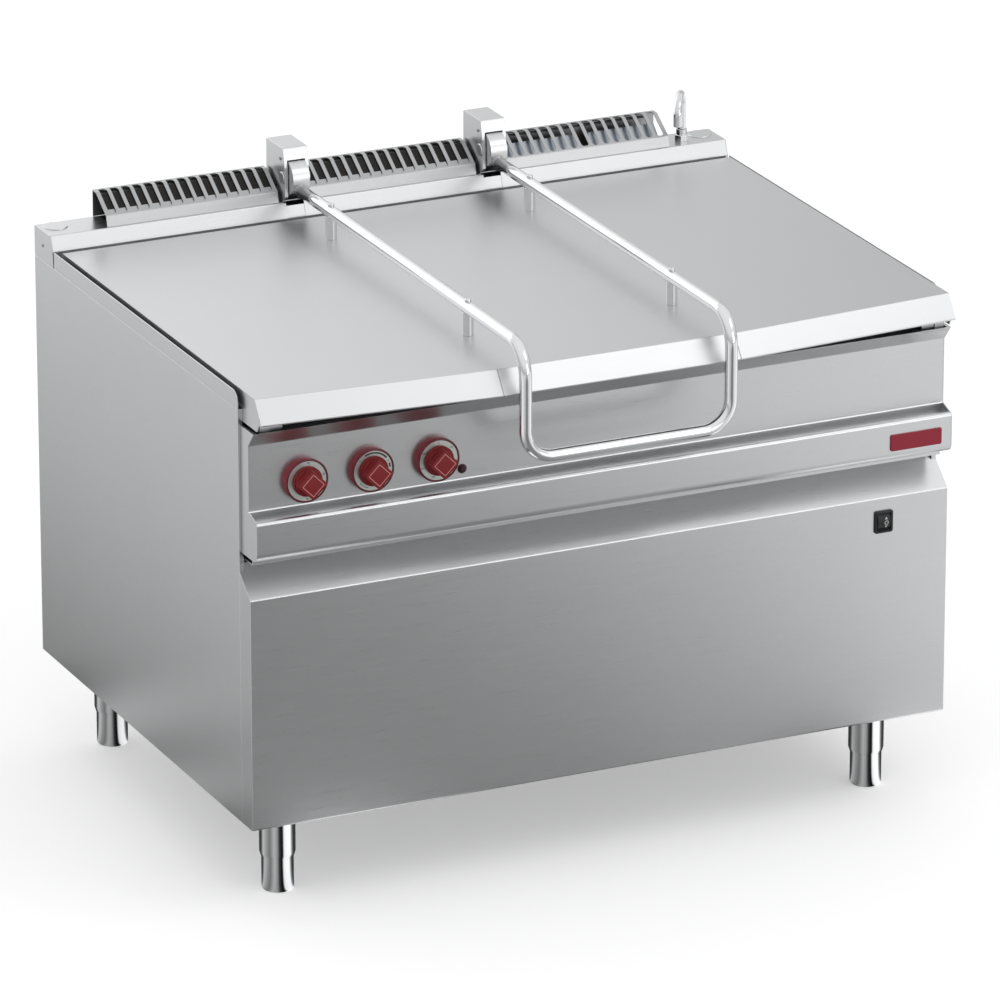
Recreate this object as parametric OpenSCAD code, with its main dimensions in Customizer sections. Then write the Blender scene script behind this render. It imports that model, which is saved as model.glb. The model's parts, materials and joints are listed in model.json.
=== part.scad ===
// Tilting bratt pan: a wide, shallow pan in a floor-standing cabinet, under a lid with a tube handle.
// Depths count from the face of the lower front panel towards the back; place() moves them to the frame.

/* [Cabinet] */
// Width of the cabinet over its side panels
body_w = 1200; // [1160:10:1300]
// Depth from the front panel's face to the back edge
body_d = 860; // [856:1:870]
// Height of the cabinet's underside above the floor
leg_h = 146.4; // [120:0.2:170]
// Thickness of the folded sheets
sheet = 1.5; // [1.2:0.1:2]
// Outer radius of the sheets' bends
bend_r = 3; // [2.4:0.1:4]
// Depth of the lower front panel's tray
tray_d = 41; // [36:1:44]
// Height where the lower front panel starts to slope back
panel_crease_z = 525.3; // [500:0.1:530]
// Height of the lower front panel's back edge
panel_top_z = 561; // [556:1:566]
// Height of the seam between side panels and top frame
seam_z = 823; // [821:0.5:825]
// Height of the top frame's side strips
strip_top_z = 850; // [846:1:852]
// Radius of the strips' front corner
strip_r = 19; // [10:1:24]
// Distance that the back panel is set in from the back edge
back_recess = 30; // [26:1:34]

/* [Legs and base] */
// Distance of the legs' centres from the cabinet's sides
leg_side = 84.8; // [70:0.2:110]
// Depth of the front legs' centres
leg_front_y = 101.8; // [90:0.2:120]
// Distance of the rear legs' centres from the back edge
leg_back = 85.6; // [75:0.2:100]
// Diameter of the adjustable feet
foot_dia = 50.8; // [45:0.1:54]
// Diameter of the sleeves above the feet
sleeve_dia = 57; // [56:0.5:62]
// Height of the sleeves' lower end
sleeve_z = 57; // [45:1:70]
// Width of the base frame's channels
channel_w = 50; // [40:1:60]
// Height of the base frame's channels
channel_h = 40; // [30:1:50]
// Wall of the base frame's channels
channel_t = 3; // [2:0.5:4]

/* [Rear housing] */
// Height of the housing's flat top
housing_z = 873; // [871:1:875]
// Depth of the housing's flat top
housing_top_d = 66.7; // [65:0.1:68]
// Distance of the smoke openings' ends from the grilles' ends
flue_inset = 10.5; // [8:0.5:20]
// Depth of the smoke openings
flue_d = 40; // [30:1:42]
// Diameter of the blanking caps
cap_dia = 40; // [30:1:44]

/* [Vent grilles] */
// Distance of the outer grilles from the cabinet's sides
grille_side = 101; // [99:1:104]
// Gap between two grilles, where a hinge box stands
grille_gap = 52; // [50:1:56]
// Height of a grille above the housing
grille_h = 44.5; // [40:0.5:48]
// Number of slots in a grille
slot_count = 15; // [12:1:15]
// Width of the bars between the slots
bar_w = 6.4; // [5.5:0.1:9]

/* [Lid] */
// Distance of the lid's ends from the cabinet's sides
lid_side = 8; // [7:0.5:20]
// Height of the lid's top face
lid_z = 853; // [852:0.5:855]
// Distance of the lid from the cabinet's back edge
lid_back = 98; // [96:1:105]
// Depth of the crease where the front starts to slope down, at the lid's ends
lid_crease_y = -6; // [-8:0.5:0]
// Depth of the lid's front edge at its ends
lid_front_y = -33.5; // [-36:0.5:-32]
// Distance that the middle of the lid's front stands forward of its ends
lid_bow = 30; // [16:1:32]
// Distance of the front's two seams outside the handle's arms
seam_out = 27; // [20:1:60]
// Height of the lid's front edge
lid_front_z = 815.5; // [815:0.5:818]
// Height of the skirts' lower edge
skirt_z = 803; // [802:0.5:806]
// Thickness of the lid's sheet
lid_t = 2; // [1.5:0.1:2.5]

/* [Handle and hinges] */
// Diameter of the handle tube
tube_dia = 20; // [18:0.5:22]
// Wall of the handle tube
tube_t = 2; // [1.5:0.25:3]
// Height of the arms' centre line
arm_z = 898; // [896:1:900]
// Depth of the handle's upright limbs
limb_y = -80.6; // [-84:0.2:-76]
// Height of the handle's bottom bar
bar_z = 717.3; // [700:0.1:730]
// Centre-line radius of the bend from arm to limb
arm_bend_r = 50; // [40:1:55]
// Centre-line radius of the two lower corners
bar_bend_r = 47; // [40:1:60]
// Depth of the front posts that join the arms to the lid
post_front = 129; // [100:1:160]
// Distance of the rear posts from the cabinet's back edge
post_back = 211.5; // [190:0.5:240]
// Diameter of the posts
post_dia = 18; // [14:0.5:20]
// Distance of the lid's hinge axis from the back edge
hinge_back = 67; // [66:0.5:68]
// Height of the lid's hinge axis
hinge_z = 915.5; // [914:0.5:917]
// Radius of the hinge drums
drum_r = 28.5; // [27:0.5:29]
// Width of the hinge drums
drum_w = 29; // [24:1:30]
// Diameter of the hinge pins
hinge_pin_dia = 14; // [10:0.5:16]
// Width of the hinge boxes
hinge_box_w = 43; // [40:1:46]
// Height of the hinge boxes' top face
hinge_box_z = 965; // [960:1:970]
// Wall of the hinge boxes
hinge_box_t = 2; // [1.5:0.25:2.5]

/* [Control fascia] */
// Distance of the fascia's ends from the cabinet's sides
fascia_side = 4; // [2:0.5:10]
// Depth of the fascia's face
fascia_y = 12; // [10:0.5:14]
// Depth of the flared top edge
flare_y = -9; // [-11:0.5:-8]
// Height of the flared top edge
fascia_top_z = 797; // [795:0.5:798]
// Height where the face meets the flare
face_top_z = 772; // [768:0.5:776]
// Height where the face meets the gutter
face_low_z = 665.5; // [662:0.5:670]
// Height of the gutter's bottom
gutter_z = 648; // [645:0.5:650]
// Height of the rim in front of the gutter
rim_z = 657.5; // [655:0.5:659]
// Depth of the rail below the rim
rail_y = -18.5; // [-22:0.5:-16]
// Height of the rail's lower edge
rail_low_z = 591; // [586:0.5:596]
// Depth of the closed box behind the fascia
control_box_y = 110; // [104:1:112]

/* [Knobs and switch] */
// Distance of the first knob from the cabinet's left side
knob_side = 96; // [80:1:110]
// Distance between the knobs
knob_pitch = 110; // [95:1:115]
// Height of the knobs' centres
knob_z = 706.5; // [700:0.5:715]
// Diameter of the knobs' fixed bezels
bezel_dia = 70; // [66:1:74]
// Height of the bezels off the face
bezel_h = 13; // [10:0.5:14]
// Diameter of the silver dials
dial_dia = 64; // [60:1:65]
// Diameter of the knobs' base discs
knob_dia = 48; // [40:1:50]
// Side of the knobs' square grips
grip_w = 34; // [30:1:36]
// Depth of the grips' front faces
grip_y = -25; // [-27:0.5:-22]
// Diameter of the knobs' spindles
spindle_dia = 12; // [8:0.5:13]
// Distance of the pilot lamp from the cabinet's left side
lamp_side = 361; // [355:1:380]
// Height of the pilot lamp
lamp_z = 682; // [678:0.5:700]
// Diameter of the lamp's lens
lamp_dia = 12.5; // [10:0.5:14]
// Distance of the tilt switch from the cabinet's right side
switch_side = 113.7; // [90:0.1:140]
// Height of the tilt switch
switch_z = 486; // [470:1:495]
// Width of the tilt switch's frame
switch_w = 32.5; // [28:0.5:36]
// Height of the tilt switch's frame
switch_h = 37; // [34:0.5:42]

/* [Tap] */
// Distance of the tap from the cabinet's right side
tap_side = 68; // [60:1:78]
// Distance of the tap from the back edge
tap_back = 39; // [38:0.5:42]
// Diameter of the spout tube
spout_dia = 14.5; // [12:0.5:16]
// Centre-line radius of the spout's bend
spout_r = 30; // [25:1:34]
// Rise of the spout's highest centre line over the housing
spout_rise = 86.8; // [80:0.1:95]
// Drop from there to the spout's outlet
outlet_drop = 44.8; // [38:0.2:50]
// Angle of the spout to the left of straight forward
spout_angle = 32; // [0:1:50]

/* [Pan] */
// Distance of the pan's ends from the cabinet's sides
pan_side = 54; // [53:1:80]
// Distance of the pan's back wall from the cabinet's back edge
pan_back = 322; // [320:1:340]
// Depth of the outside of the pan's front wall at its foot
pan_front_y = 132; // [126:1:140]
// Height of the underside of the pan's rim
pan_rim_z = 812; // [811.5:0.1:813]
// Height of the underside of the pan's floor
pan_floor_z = 608; // [600:1:620]
// Wall of the pan
pan_t = 3; // [2:0.25:4]
// Thickness of the heat-spreading plate under the floor
plate_t = 9; // [6:1:12]
// Depth of the casing below the pan's floor
casing_h = 33; // [30:1:36]
// Width of the pouring lip
lip_w = 390; // [300:1:400]
// Depth of the pouring lip's edge
lip_y = -22; // [-24:0.5:-18]
// Number of heating elements
heater_count = 6; // [4:1:6]
// Diameter of the heating elements
heater_dia = 8.5; // [6:0.5:10]

/* [Tilting gear] */
// Depth of the tilting axis
pivot_y = 4; // [3:0.5:5]
// Height of the tilting axis
pivot_z = 803; // [802.5:0.5:804]
// Diameter of the pivot pins
pivot_dia = 12; // [10:0.5:12]
// Depth of the screw jack
jack_y = 290; // [280:1:310]
// Diameter of the jack's rod
rod_dia = 28; // [24:1:30]
// Outer diameter of the jack's tube
jack_dia = 45; // [40:1:50]
// Travel of the jack's rod
jack_stroke = 222; // [200:1:224]
// Diameter of the roller on the rod
roller_dia = 30; // [26:1:32]
// Diameter of the jack's motor
motor_dia = 62; // [50:1:62]

/* [Connections] */
// Outer diameter of the water inlet
inlet_dia = 20.96; // [16:0.01:26]
// Length of the inlet beyond its flange on the back panel
inlet_l = 18; // [12:1:24]
// Bore of the cable gland
gland_bore = 18; // [12:0.5:20]
// Height of both connections above the cabinet's underside
service_rise = 93.6; // [80:0.2:150]
// Distance of the cable gland from the cabinet's left side
gland_side = 150; // [120:1:200]

/* [Hidden] */

// Clearances between neighbouring pieces
seat_gap = 0.2;
seam_gap = 0.5;
run_gap = 0.05;
through = 1;
round_fn = 48;
small_fn = 32;

// The frame's origin lies under the middle of the whole depth, handle included
handle_front_y = limb_y - tube_dia / 2;
front_y = -(handle_front_y + body_d) / 2;

body_half = body_w / 2;
inner_w = body_w - 2 * sheet;
lid_w = body_w - 2 * lid_side;
fascia_w = body_w - 2 * fascia_side;
pan_w = body_w - 2 * pan_side;
leg_x = body_half - leg_side;
leg_rear_y = body_d - leg_back;
grille_w = (body_w - 2 * grille_side - 2 * grille_gap) / 3;
grille_pitch = grille_w + grille_gap;
grille_frame = 7;
slot_pitch = (grille_w - grille_frame) / slot_count;
slot_w = slot_pitch - bar_w;
flue_w = grille_w - 2 * flue_inset;
arm_x = grille_pitch / 2;
housing_front_y = body_d - housing_top_d;
hinge_y = body_d - hinge_back;
lid_back_y = body_d - lid_back;
pan_back_y = body_d - pan_back;
post_y = [post_front, body_d - post_back];
knob_x = [for (i = [0:2]) knob_side - body_half + i * knob_pitch];
lamp_at = [lamp_side - body_half, lamp_z];
switch_at = [body_half - switch_side, switch_z];
tap_x = body_half - tap_side;
tap_y = body_d - tap_back;
gland_x = gland_side - body_half;
service_z = leg_h + service_rise;
spout_z = housing_z + spout_rise;
outlet_z = spout_z - outlet_drop;
gland_r = gland_bore / 2 + 3;
base_top_z = leg_h + channel_h;
floor_z = base_top_z + sheet;
back_panel_y = body_d - back_recess;
strip_end_y = housing_front_y - 15.3;
housing_low_y = housing_front_y - 11.3;
grille_top_z = housing_z + grille_h;
tube_r = tube_dia / 2;
pan_half = pan_w / 2;
pan_rim_back = pan_back_y + 7;
casing_z = pan_floor_z - casing_h;
rail_t = 8;
rail_z = casing_z - rail_t;
deck_y = pivot_y + norm([pan_back_y + sheet - pivot_y, pivot_z - casing_z]) + 10;
ear_t = 8;
ear_out = pan_half + ear_t;
bracket_in = ear_out + 14;
bracket_t = 16;
slot_in = pan_half - 2;
fascia_in = fascia_w / 2 - 2;
roller_z = rail_z - 0.3 - roller_dia / 2;
gearbox_h = 60;
gearbox_half = 45;
jack_foot_z = floor_z + gearbox_h;
jack_top_z = roller_z - roller_dia / 2 - 14;
rod_low_z = jack_top_z - jack_stroke - 40;
box_y = hinge_y - 1;

function unit(v) = v / norm(v);
function left_of(v) = [-v[1], v[0]];
// Mitred points at distance t to the left of an open path
function beside(p, t) = [for (i = [0:len(p) - 1])
    let (a = left_of(unit(i > 0 ? p[i] - p[i - 1] : p[1] - p[0])),
         b = i < len(p) - 1 ? left_of(unit(p[i + 1] - p[i])) : a,
         m = a + b)
    p[i] + 2 * t * m / (m * m)];
// An open path whose inner corners are arcs of radius r, each in n steps
function turn(a, b) = atan2(a[0] * b[1] - a[1] * b[0], a * b);
function bent(p, r, n = 4) = concat([p[0]], [for (i = [1:1:len(p) - 2])
    let (a = unit(p[i] - p[i - 1]), b = unit(p[i + 1] - p[i]), w = turn(a, b), s = sign(w),
         c = p[i] - r * tan(abs(w) / 2) * a + s * r * left_of(a),
         w0 = atan2(-s * left_of(a)[1], -s * left_of(a)[0]))
    for (k = [0:n]) c + r * [cos(w0 + w * k / n), sin(w0 + w * k / n)]], [p[len(p) - 1]]);
// Outline of a sheet of thickness t folded along the path p, with its thickness to the left
function folded(p, t) = let (q = beside(p, t)) concat(p, [for (i = [len(q) - 1:-1:0]) q[i]]);
// Points of an arc about c, from angle a to angle b
function arc(c, r, a, b, n = 8) = [for (i = [0:n])
    c + r * [cos(a + (b - a) * i / n), sin(a + (b - a) * i / n)]];

module place() translate([0, front_y, 0]) children();
module both_sides() {
    children();
    mirror([1, 0, 0]) children();
}
// A (depth, height) outline extruded across the width, centred on x
module along_x(w, x = 0) translate([x - w / 2, 0, 0]) rotate([90, 0, 90]) linear_extrude(w) children();
module rod_x(r, w, at) translate([at[0] - w / 2, at[1], at[2]]) rotate([0, 90, 0])
    cylinder(r = r, h = w, $fn = round_fn);
module rod_y(r, y0, y1, x, z) translate([x, y1, z]) rotate([90, 0, 0])
    cylinder(r = r, h = y1 - y0, $fn = round_fn);
module tube_y(r, t, y0, y1, x, z) difference() {
    rod_y(r, y0, y1, x, z);
    rod_y(r - t, y0 - through, y1 + through, x, z);
}
module box_at(x0, x1, y0, y1, z0, z1) translate([x0, y0, z0]) cube([x1 - x0, y1 - y0, z1 - z0]);

// A channel along X, open towards the inside of the frame
module channel_x(w, y, open) difference() {
    box_at(-w / 2, w / 2, y - channel_w / 2, y + channel_w / 2, leg_h, base_top_z);
    box_at(-w / 2 - through, w / 2 + through, y - channel_w / 2 + (open > 0 ? channel_t : -through),
        y + channel_w / 2 + (open > 0 ? through : -channel_t), leg_h + channel_t, base_top_z - channel_t);
}
module base_frame() place() color("#9a9c9e") {
    channel_x(inner_w, leg_front_y, 1);
    channel_x(inner_w, leg_rear_y, -1);
    y0 = leg_front_y + channel_w / 2;
    y1 = leg_rear_y - channel_w / 2;
    both_sides() difference() {
        box_at(inner_w / 2 - channel_w, inner_w / 2, y0, y1, leg_h, base_top_z);
        box_at(inner_w / 2 - channel_w - through, inner_w / 2 - channel_t, y0 - through, y1 + through,
            leg_h + channel_t, base_top_z - channel_t);
    }
    difference() {
        box_at(channel_w - inner_w / 2, inner_w / 2 - channel_w, jack_y - channel_w, jack_y + channel_w,
            leg_h, base_top_z);
        box_at(-inner_w / 2, inner_w / 2, jack_y - channel_w + channel_t, jack_y + channel_w - channel_t,
            leg_h - through, base_top_z - channel_t);
    }
}

module at_legs() for (x = [-leg_x, leg_x], y = [leg_front_y, leg_rear_y]) translate([x, y, 0]) children();
module leg_sleeves() place() color("#b9bbbd") at_legs() rotate_extrude($fn = 64) polygon([
    [foot_dia / 2 + seat_gap, sleeve_z], [foot_dia / 2 + 1, sleeve_z], [sleeve_dia / 2, sleeve_z + 7],
    [sleeve_dia / 2, leg_h], [foot_dia / 2 + seat_gap, leg_h]]);
// Foot: a capped tube with a rounded lower edge, and the spindle that it screws up and down on
foot_round = 5;
foot_cap = 8;
spindle_r = 6;
module leg_feet() place() color("#c9cbcd") at_legs() rotate_extrude($fn = 64) polygon(concat([[0, 0]],
    arc([foot_dia / 2 - foot_round, foot_round], foot_round, 270, 360, 5),
    [[foot_dia / 2, leg_h - 25], [foot_dia / 2 - 3, leg_h - 25], [foot_dia / 2 - 3, foot_cap],
    [spindle_r, foot_cap], [spindle_r, leg_h], [0, leg_h]]));
module bottom_panel() place() color("#a5a7a9")
    box_at(-inner_w / 2, inner_w / 2, tray_d + 2, back_panel_y - sheet - seat_gap, base_top_z, floor_z);

// Side panel: flat sheet with return flanges at the front and at the back
side_lip = 8;
module side_panel(side) place() color("#b8babb") mirror([side < 0 ? 1 : 0, 0, 0]) {
    x1 = body_half;
    box_at(x1 - sheet, x1, tray_d, body_d, leg_h, seam_z - seam_gap);
    box_at(x1 - side_lip, x1, tray_d, tray_d + sheet, leg_h, seam_z - seam_gap);
    box_at(x1 - 20, x1, body_d - sheet, body_d, leg_h, seam_z - seam_gap);
    box_at(x1 - 20, x1 - 20 + sheet, back_panel_y, body_d, leg_h, seam_z - seam_gap);
}
module side_panel_left() side_panel(-1);
module side_panel_right() side_panel(1);

module back_panel() place() color("#a9abad") difference() {
    box_at(sheet - inner_w / 2, inner_w / 2 - sheet, back_panel_y - sheet, back_panel_y,
        leg_h, seam_z - seam_gap);
    rod_y(inlet_dia / 2 + seat_gap, back_panel_y - 9, back_panel_y + 9, tap_x, service_z);
    rod_y(gland_r + seat_gap, back_panel_y - 9, back_panel_y + 9, gland_x, service_z);
}

// Lower front panel: a tray whose top slopes back and runs on as a tongue between the side panels,
// with a cut-out for the tilt switch
tongue_l = 14;
module front_panel() place() color("#a3a5a7") {
    outline = bent([[tray_d, panel_top_z], [0, panel_crease_z], [0, leg_h], [tray_d, leg_h]], bend_r);
    tip = outline[0] + tongue_l * unit(outline[0] - outline[1]);
    difference() {
        along_x(body_w) polygon(folded(concat([tip], [for (i = [1:len(outline) - 1]) outline[i]]), sheet));
        box_at(switch_at[0] - switch_w / 2 + 2, switch_at[0] + switch_w / 2 - 2, -through, sheet + through,
            switch_at[1] - switch_h / 2 + 2, switch_at[1] + switch_h / 2 - 2);
        both_sides() box_at(body_half - side_lip - 1, body_half + through, tray_d, tray_d + tongue_l + 9,
            panel_crease_z, panel_top_z + tongue_l + 9);
    }
    both_sides() along_x(sheet, (body_w - sheet) / 2) polygon(outline);
}

// Top frame: the two side strips, the ledges beside the pan and the sloping deck behind it
module top_frame() place() color("#b4b6b8") {
    ledge_z = seam_z - 33;
    both_sides() {
        along_x(sheet, (body_w - sheet) / 2) polygon(concat([[tray_d, seam_z], [strip_end_y, seam_z],
            [strip_end_y, strip_top_z]], arc([tray_d + strip_r, strip_top_z - strip_r], strip_r, 90, 180)));
        box_at(pan_half + 12, inner_w / 2, tray_d + 50, strip_end_y, ledge_z, ledge_z + sheet);
        box_at(inner_w / 2 - sheet, inner_w / 2, tray_d + 50, strip_end_y, ledge_z, seam_z);
        box_at(inner_w / 2 - sheet, body_w / 2, tray_d + 50, strip_end_y, seam_z, seam_z + sheet);
    }
    along_x(2 * pan_half + 24) polygon(folded([[deck_y, ledge_z - 18], [deck_y, ledge_z],
        [strip_end_y, ledge_z + 8], [strip_end_y, seam_z]], -sheet));
}

// The housing's front slopes, and then drops more steeply behind the lid
housing_mid_y = housing_front_y - 8.8;
housing_mid_z = housing_z - 24.5;
// Rear housing: a folded cover with the smoke openings and the notches for the hinges
housing_path = bent([[back_panel_y, seam_z], [body_d, seam_z], [body_d, housing_z],
    [housing_front_y, housing_z], [housing_mid_y, housing_mid_z], [housing_low_y, seam_z]], bend_r);
module rear_housing() place() color("#c6c8c9") difference() {
    along_x(inner_w) polygon(folded(housing_path, sheet));
    for (i = [-1:1]) box_at(i * grille_pitch - flue_w / 2, i * grille_pitch + flue_w / 2,
        body_d - 8 - flue_d, body_d - 8, housing_z - 9, housing_z + 9);
    for (x = [-arm_x, arm_x]) box_at(x - hinge_box_w / 2 + 6, x + hinge_box_w / 2 - 6,
        housing_front_y - 14, housing_front_y + 10, housing_z - 24, housing_z + 9);
    translate([tap_x, tap_y, housing_z - 9]) cylinder(d = 12.4, h = 18, $fn = round_fn);
}
module housing_end(side) place() color("#bdbfc1") mirror([side < 0 ? 1 : 0, 0, 0])
    along_x(sheet, (body_w - sheet) / 2) polygon(housing_path);
module housing_end_cap_left() housing_end(-1);
module housing_end_cap_right() housing_end(1);
module blanking_caps() place() color("#c2c4c6") both_sides()
    translate([body_half - 27, body_d - 24, housing_z])
        cylinder(d1 = cap_dia, d2 = cap_dia - 2, h = 1.5, $fn = 64);

// Vent grille: a bent sheet with round-ended slots that run over the bend
grille_edge = [body_d - 15, grille_top_z];
module grille_path(y_back) polygon(folded(bent([[y_back, grille_top_z], grille_edge,
    [housing_front_y + 8.7, grille_top_z - 27.5], [housing_front_y + 4.2, housing_z]], bend_r), sheet));
module slot_cut(x, y0, y1) {
    box_at(x - slot_w / 2, x + slot_w / 2, y0 + slot_w / 2, y1 - slot_w / 2,
        grille_top_z - 45, grille_top_z + 5);
    for (y = [y0 + slot_w / 2, y1 - slot_w / 2]) translate([x, y, grille_top_z - 45])
        cylinder(d = slot_w, h = 50, $fn = small_fn);
}
module vent_grille(i) place() color("#cfd1d2") translate([i * grille_pitch, 0, 0]) difference() {
    union() {
        along_x(grille_w) grille_path(body_d - sheet);
        box_at(-grille_w / 2, grille_w / 2, body_d - sheet, body_d, housing_z, grille_top_z);
    }
    for (k = [0:slot_count - 1]) slot_cut((k - (slot_count - 1) / 2) * slot_pitch,
        housing_front_y + 10.7, body_d - 4);
    box_at(-grille_w, grille_w, housing_front_y, body_d + through, housing_z - 9, housing_z);
}
module vent_grille_left() vent_grille(-1);
module vent_grille_middle() vent_grille(0);
module vent_grille_right() vent_grille(1);

// Deflectors: two plates under the right grille's slope, with a slanted gap between them
deflector_rise = 30;
module smoke_deflectors() place() color("#8fa0ad") for (s = [-1, 1])
    translate([grille_pitch, 0, housing_z]) mirror([s < 0 ? 1 : 0, 0, 0]) difference() {
        y0 = body_d - 9 - flue_d - 5;
        y1 = y0 + deflector_rise * 1.1;
        along_x(flue_w / 2 - 4, flue_w / 4 + 2) polygon([[y0, 0], [y1, deflector_rise],
            [y1 - sheet, deflector_rise], [y0 - sheet, 0]]);
        translate([9, y0, 0]) rotate([0, s * 20, 0]) translate([-60, -20, -20]) cube([60, 80, 80]);
    }

// Hinge box: a folded hood, open to the front where the drum turns
hinge_outline = bent([[body_d - 2, housing_z], [body_d - 2, hinge_box_z], [box_y, hinge_box_z],
    [box_y - 8, hinge_box_z - 31], [box_y - 9, housing_z + 12], [box_y + 2, housing_z]], bend_r);
module hinge_box(side) place() color("#c4c6c8") translate([side * arm_x, 0, 0]) difference() {
    along_x(hinge_box_w) polygon(hinge_outline);
    along_x(hinge_box_w - 2 * hinge_box_t) polygon(concat([[body_d - 2 - hinge_box_t, housing_z - 9]],
        [[body_d - 2 - hinge_box_t, hinge_box_z - hinge_box_t],
        [box_y + hinge_box_t, hinge_box_z - hinge_box_t],
        [box_y - 8 + hinge_box_t, hinge_box_z - 31], [box_y - 9 + hinge_box_t, housing_z + 12],
        [box_y + 4, housing_z - 9]]));
    box_at(-(drum_w + 2) / 2, (drum_w + 2) / 2, box_y - 20, box_y + 25, housing_z - 9,
        hinge_z + drum_r + 1);
    rod_x(hinge_pin_dia / 2 + run_gap, hinge_box_w + 9, [0, hinge_y, hinge_z]);
}
module hinge_box_left() hinge_box(-1);
module hinge_box_right() hinge_box(1);
module hinge_pins() place() color("#8d8f92") for (s = [-1, 1]) {
    rod_x(hinge_pin_dia / 2, hinge_box_w + 2, [s * arm_x, hinge_y, hinge_z]);
    for (e = [-1, 1]) rod_x(hinge_pin_dia / 2 + 3, 2,
        [s * arm_x + e * (hinge_box_w / 2 + 1 + run_gap), hinge_y, hinge_z]);
}

// Fascia: flare, face, gutter, round-nosed rim and rail folded from one sheet
nose_r = 6;
low_r = 15;
gutter_step = 2;
nose_back_y = rail_y + 2 * nose_r;
flare_profile = concat([[tray_d - seam_gap, fascia_top_z]], bent([[flare_y, fascia_top_z],
    [fascia_y, face_top_z], [fascia_y, face_top_z - 20]], bend_r));
rail_profile = arc([rail_y + low_r, rail_low_z + low_r], low_r, 180, 270);
fascia_profile = concat(flare_profile, [[fascia_y, face_low_z],
    [fascia_y + gutter_step, face_low_z - gutter_step],
    [fascia_y + gutter_step, gutter_z], [nose_back_y, gutter_z]],
    arc([rail_y + nose_r, rim_z - nose_r], nose_r, 0, 180, 12), rail_profile);
end_profile = concat(flare_profile, [[fascia_y, face_low_z], [rail_y + nose_r, rim_z]],
    arc([rail_y + nose_r, rim_z - nose_r], nose_r, 90, 180), rail_profile);
module fascia_panel() place() color("#c0c2c4") difference() {
    along_x(2 * fascia_in) polygon(folded(concat(fascia_profile, [[tray_d - 21, rail_low_z]]), sheet));
    both_sides() box_at(slot_in, fascia_in - 4, flare_y + 3, tray_d + through,
        fascia_top_z - 4, fascia_top_z + 2);
    for (x = knob_x) rod_y(spindle_dia / 2 + 1, -9, 30, x, knob_z);
    rod_y(lamp_dia / 2 + seat_gap, -9, 30, lamp_at[0], lamp_at[1]);
}
module fascia_end(side) place() color("#b6b8ba") mirror([side < 0 ? 1 : 0, 0, 0])
    along_x(2, fascia_w / 2 - 1) polygon(concat(end_profile, [[tray_d - seam_gap, rail_low_z]]));
module fascia_end_cap_left() fascia_end(-1);
module fascia_end_cap_right() fascia_end(1);

// Control box: the closed back of the fascia, a sheet tray with two end walls
module control_box() place() color("#9fa1a3") {
    y0 = fascia_y + sheet;
    y1 = y0 + gutter_step + seat_gap;
    z0 = rail_low_z + 9;
    z1 = fascia_top_z - sheet;
    path = [[y0, z0], [control_box_y, z0], [control_box_y, z1], [flare_y + 14, z1]];
    along_x(2 * slot_in - 8) polygon(folded(path, sheet));
    both_sides() along_x(sheet, slot_in - 4 - sheet / 2) polygon([[y1, z0], [control_box_y, z0],
        [control_box_y, z1], [y0, z1], [y0, face_low_z + 2], [y1, face_low_z + 2]]);
}
// Strip under the rail, which closes the gap down to the lower front panel
strip_z = rail_low_z - 12;
module under_rail_strip() place() color("#8b8d8f") along_x(body_w - 2 * side_lip - 2) polygon(folded([
    [tray_d + tongue_l, strip_z], [fascia_y - 1, strip_z],
    [fascia_y - 1, strip_z + 7], [fascia_y + 5, rail_low_z]], -sheet));

// Bezels, dials and control bodies behind the fascia
module knob_bezels() place() color("#8c2b34") for (x = knob_x) difference() {
    rod_y(bezel_dia / 2, fascia_y - bezel_h, fascia_y, x, knob_z);
    rod_y(dial_dia / 2 + seat_gap, fascia_y - bezel_h - through, fascia_y - bezel_h + 1.5, x, knob_z);
    rod_y(spindle_dia / 2 + 1, -20, 30, x, knob_z);
}
module dial_plates() place() color("#cfd0d2") for (x = knob_x)
    tube_y(dial_dia / 2, dial_dia / 2 - spindle_dia / 2 - 1, fascia_y - bezel_h + 0.5,
        fascia_y - bezel_h + 1.5, x, knob_z);
module control_body(i, w, h, d) place() difference() {
    union() {
        rod_y(11, fascia_y + sheet, fascia_y + sheet + 10, knob_x[i], knob_z);
        box_at(knob_x[i] - w / 2, knob_x[i] + w / 2, fascia_y + sheet + 10, fascia_y + sheet + 10 + d,
            knob_z - h / 2, knob_z + h / 2);
    }
    rod_y(spindle_dia / 2 + run_gap, 0, 45, knob_x[i], knob_z);
}
module water_valve() {
    color("#b5a05a") control_body(0, 34, 44, 44);
}
module power_regulator() {
    color("#3a3a3c") control_body(1, 46, 46, 36);
}
module thermostat() {
    color("#d8d4c8") control_body(2, 40, 52, 34);
}
// Knob: spindle, base disc, stepped neck and a square grip that stands on its corner
module knob(i) place() color("#8c2b34") {
    front = fascia_y - bezel_h - 0.3;
    rod_y(spindle_dia / 2, front - 2, 44, knob_x[i], knob_z);
    rod_y(knob_dia / 2, front - 4, front, knob_x[i], knob_z);
    rod_y(knob_dia / 2 - 3, front - 8, front - 3, knob_x[i], knob_z);
    translate([knob_x[i], 0, knob_z]) rotate([0, 45, 0]) {
        box_at(-grip_w / 2 + 4, grip_w / 2 - 4, grip_y, front - 7, -grip_w / 2, grip_w / 2);
        box_at(-grip_w / 2, grip_w / 2, grip_y, front - 7, -grip_w / 2 + 4, grip_w / 2 - 4);
        for (a = [-1, 1], b = [-1, 1]) rod_y(4, grip_y, front - 7, a * (grip_w / 2 - 4), b * (grip_w / 2 - 4));
    }
}
module water_knob() knob(0);
module power_knob() knob(1);
module temperature_knob() knob(2);

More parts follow.
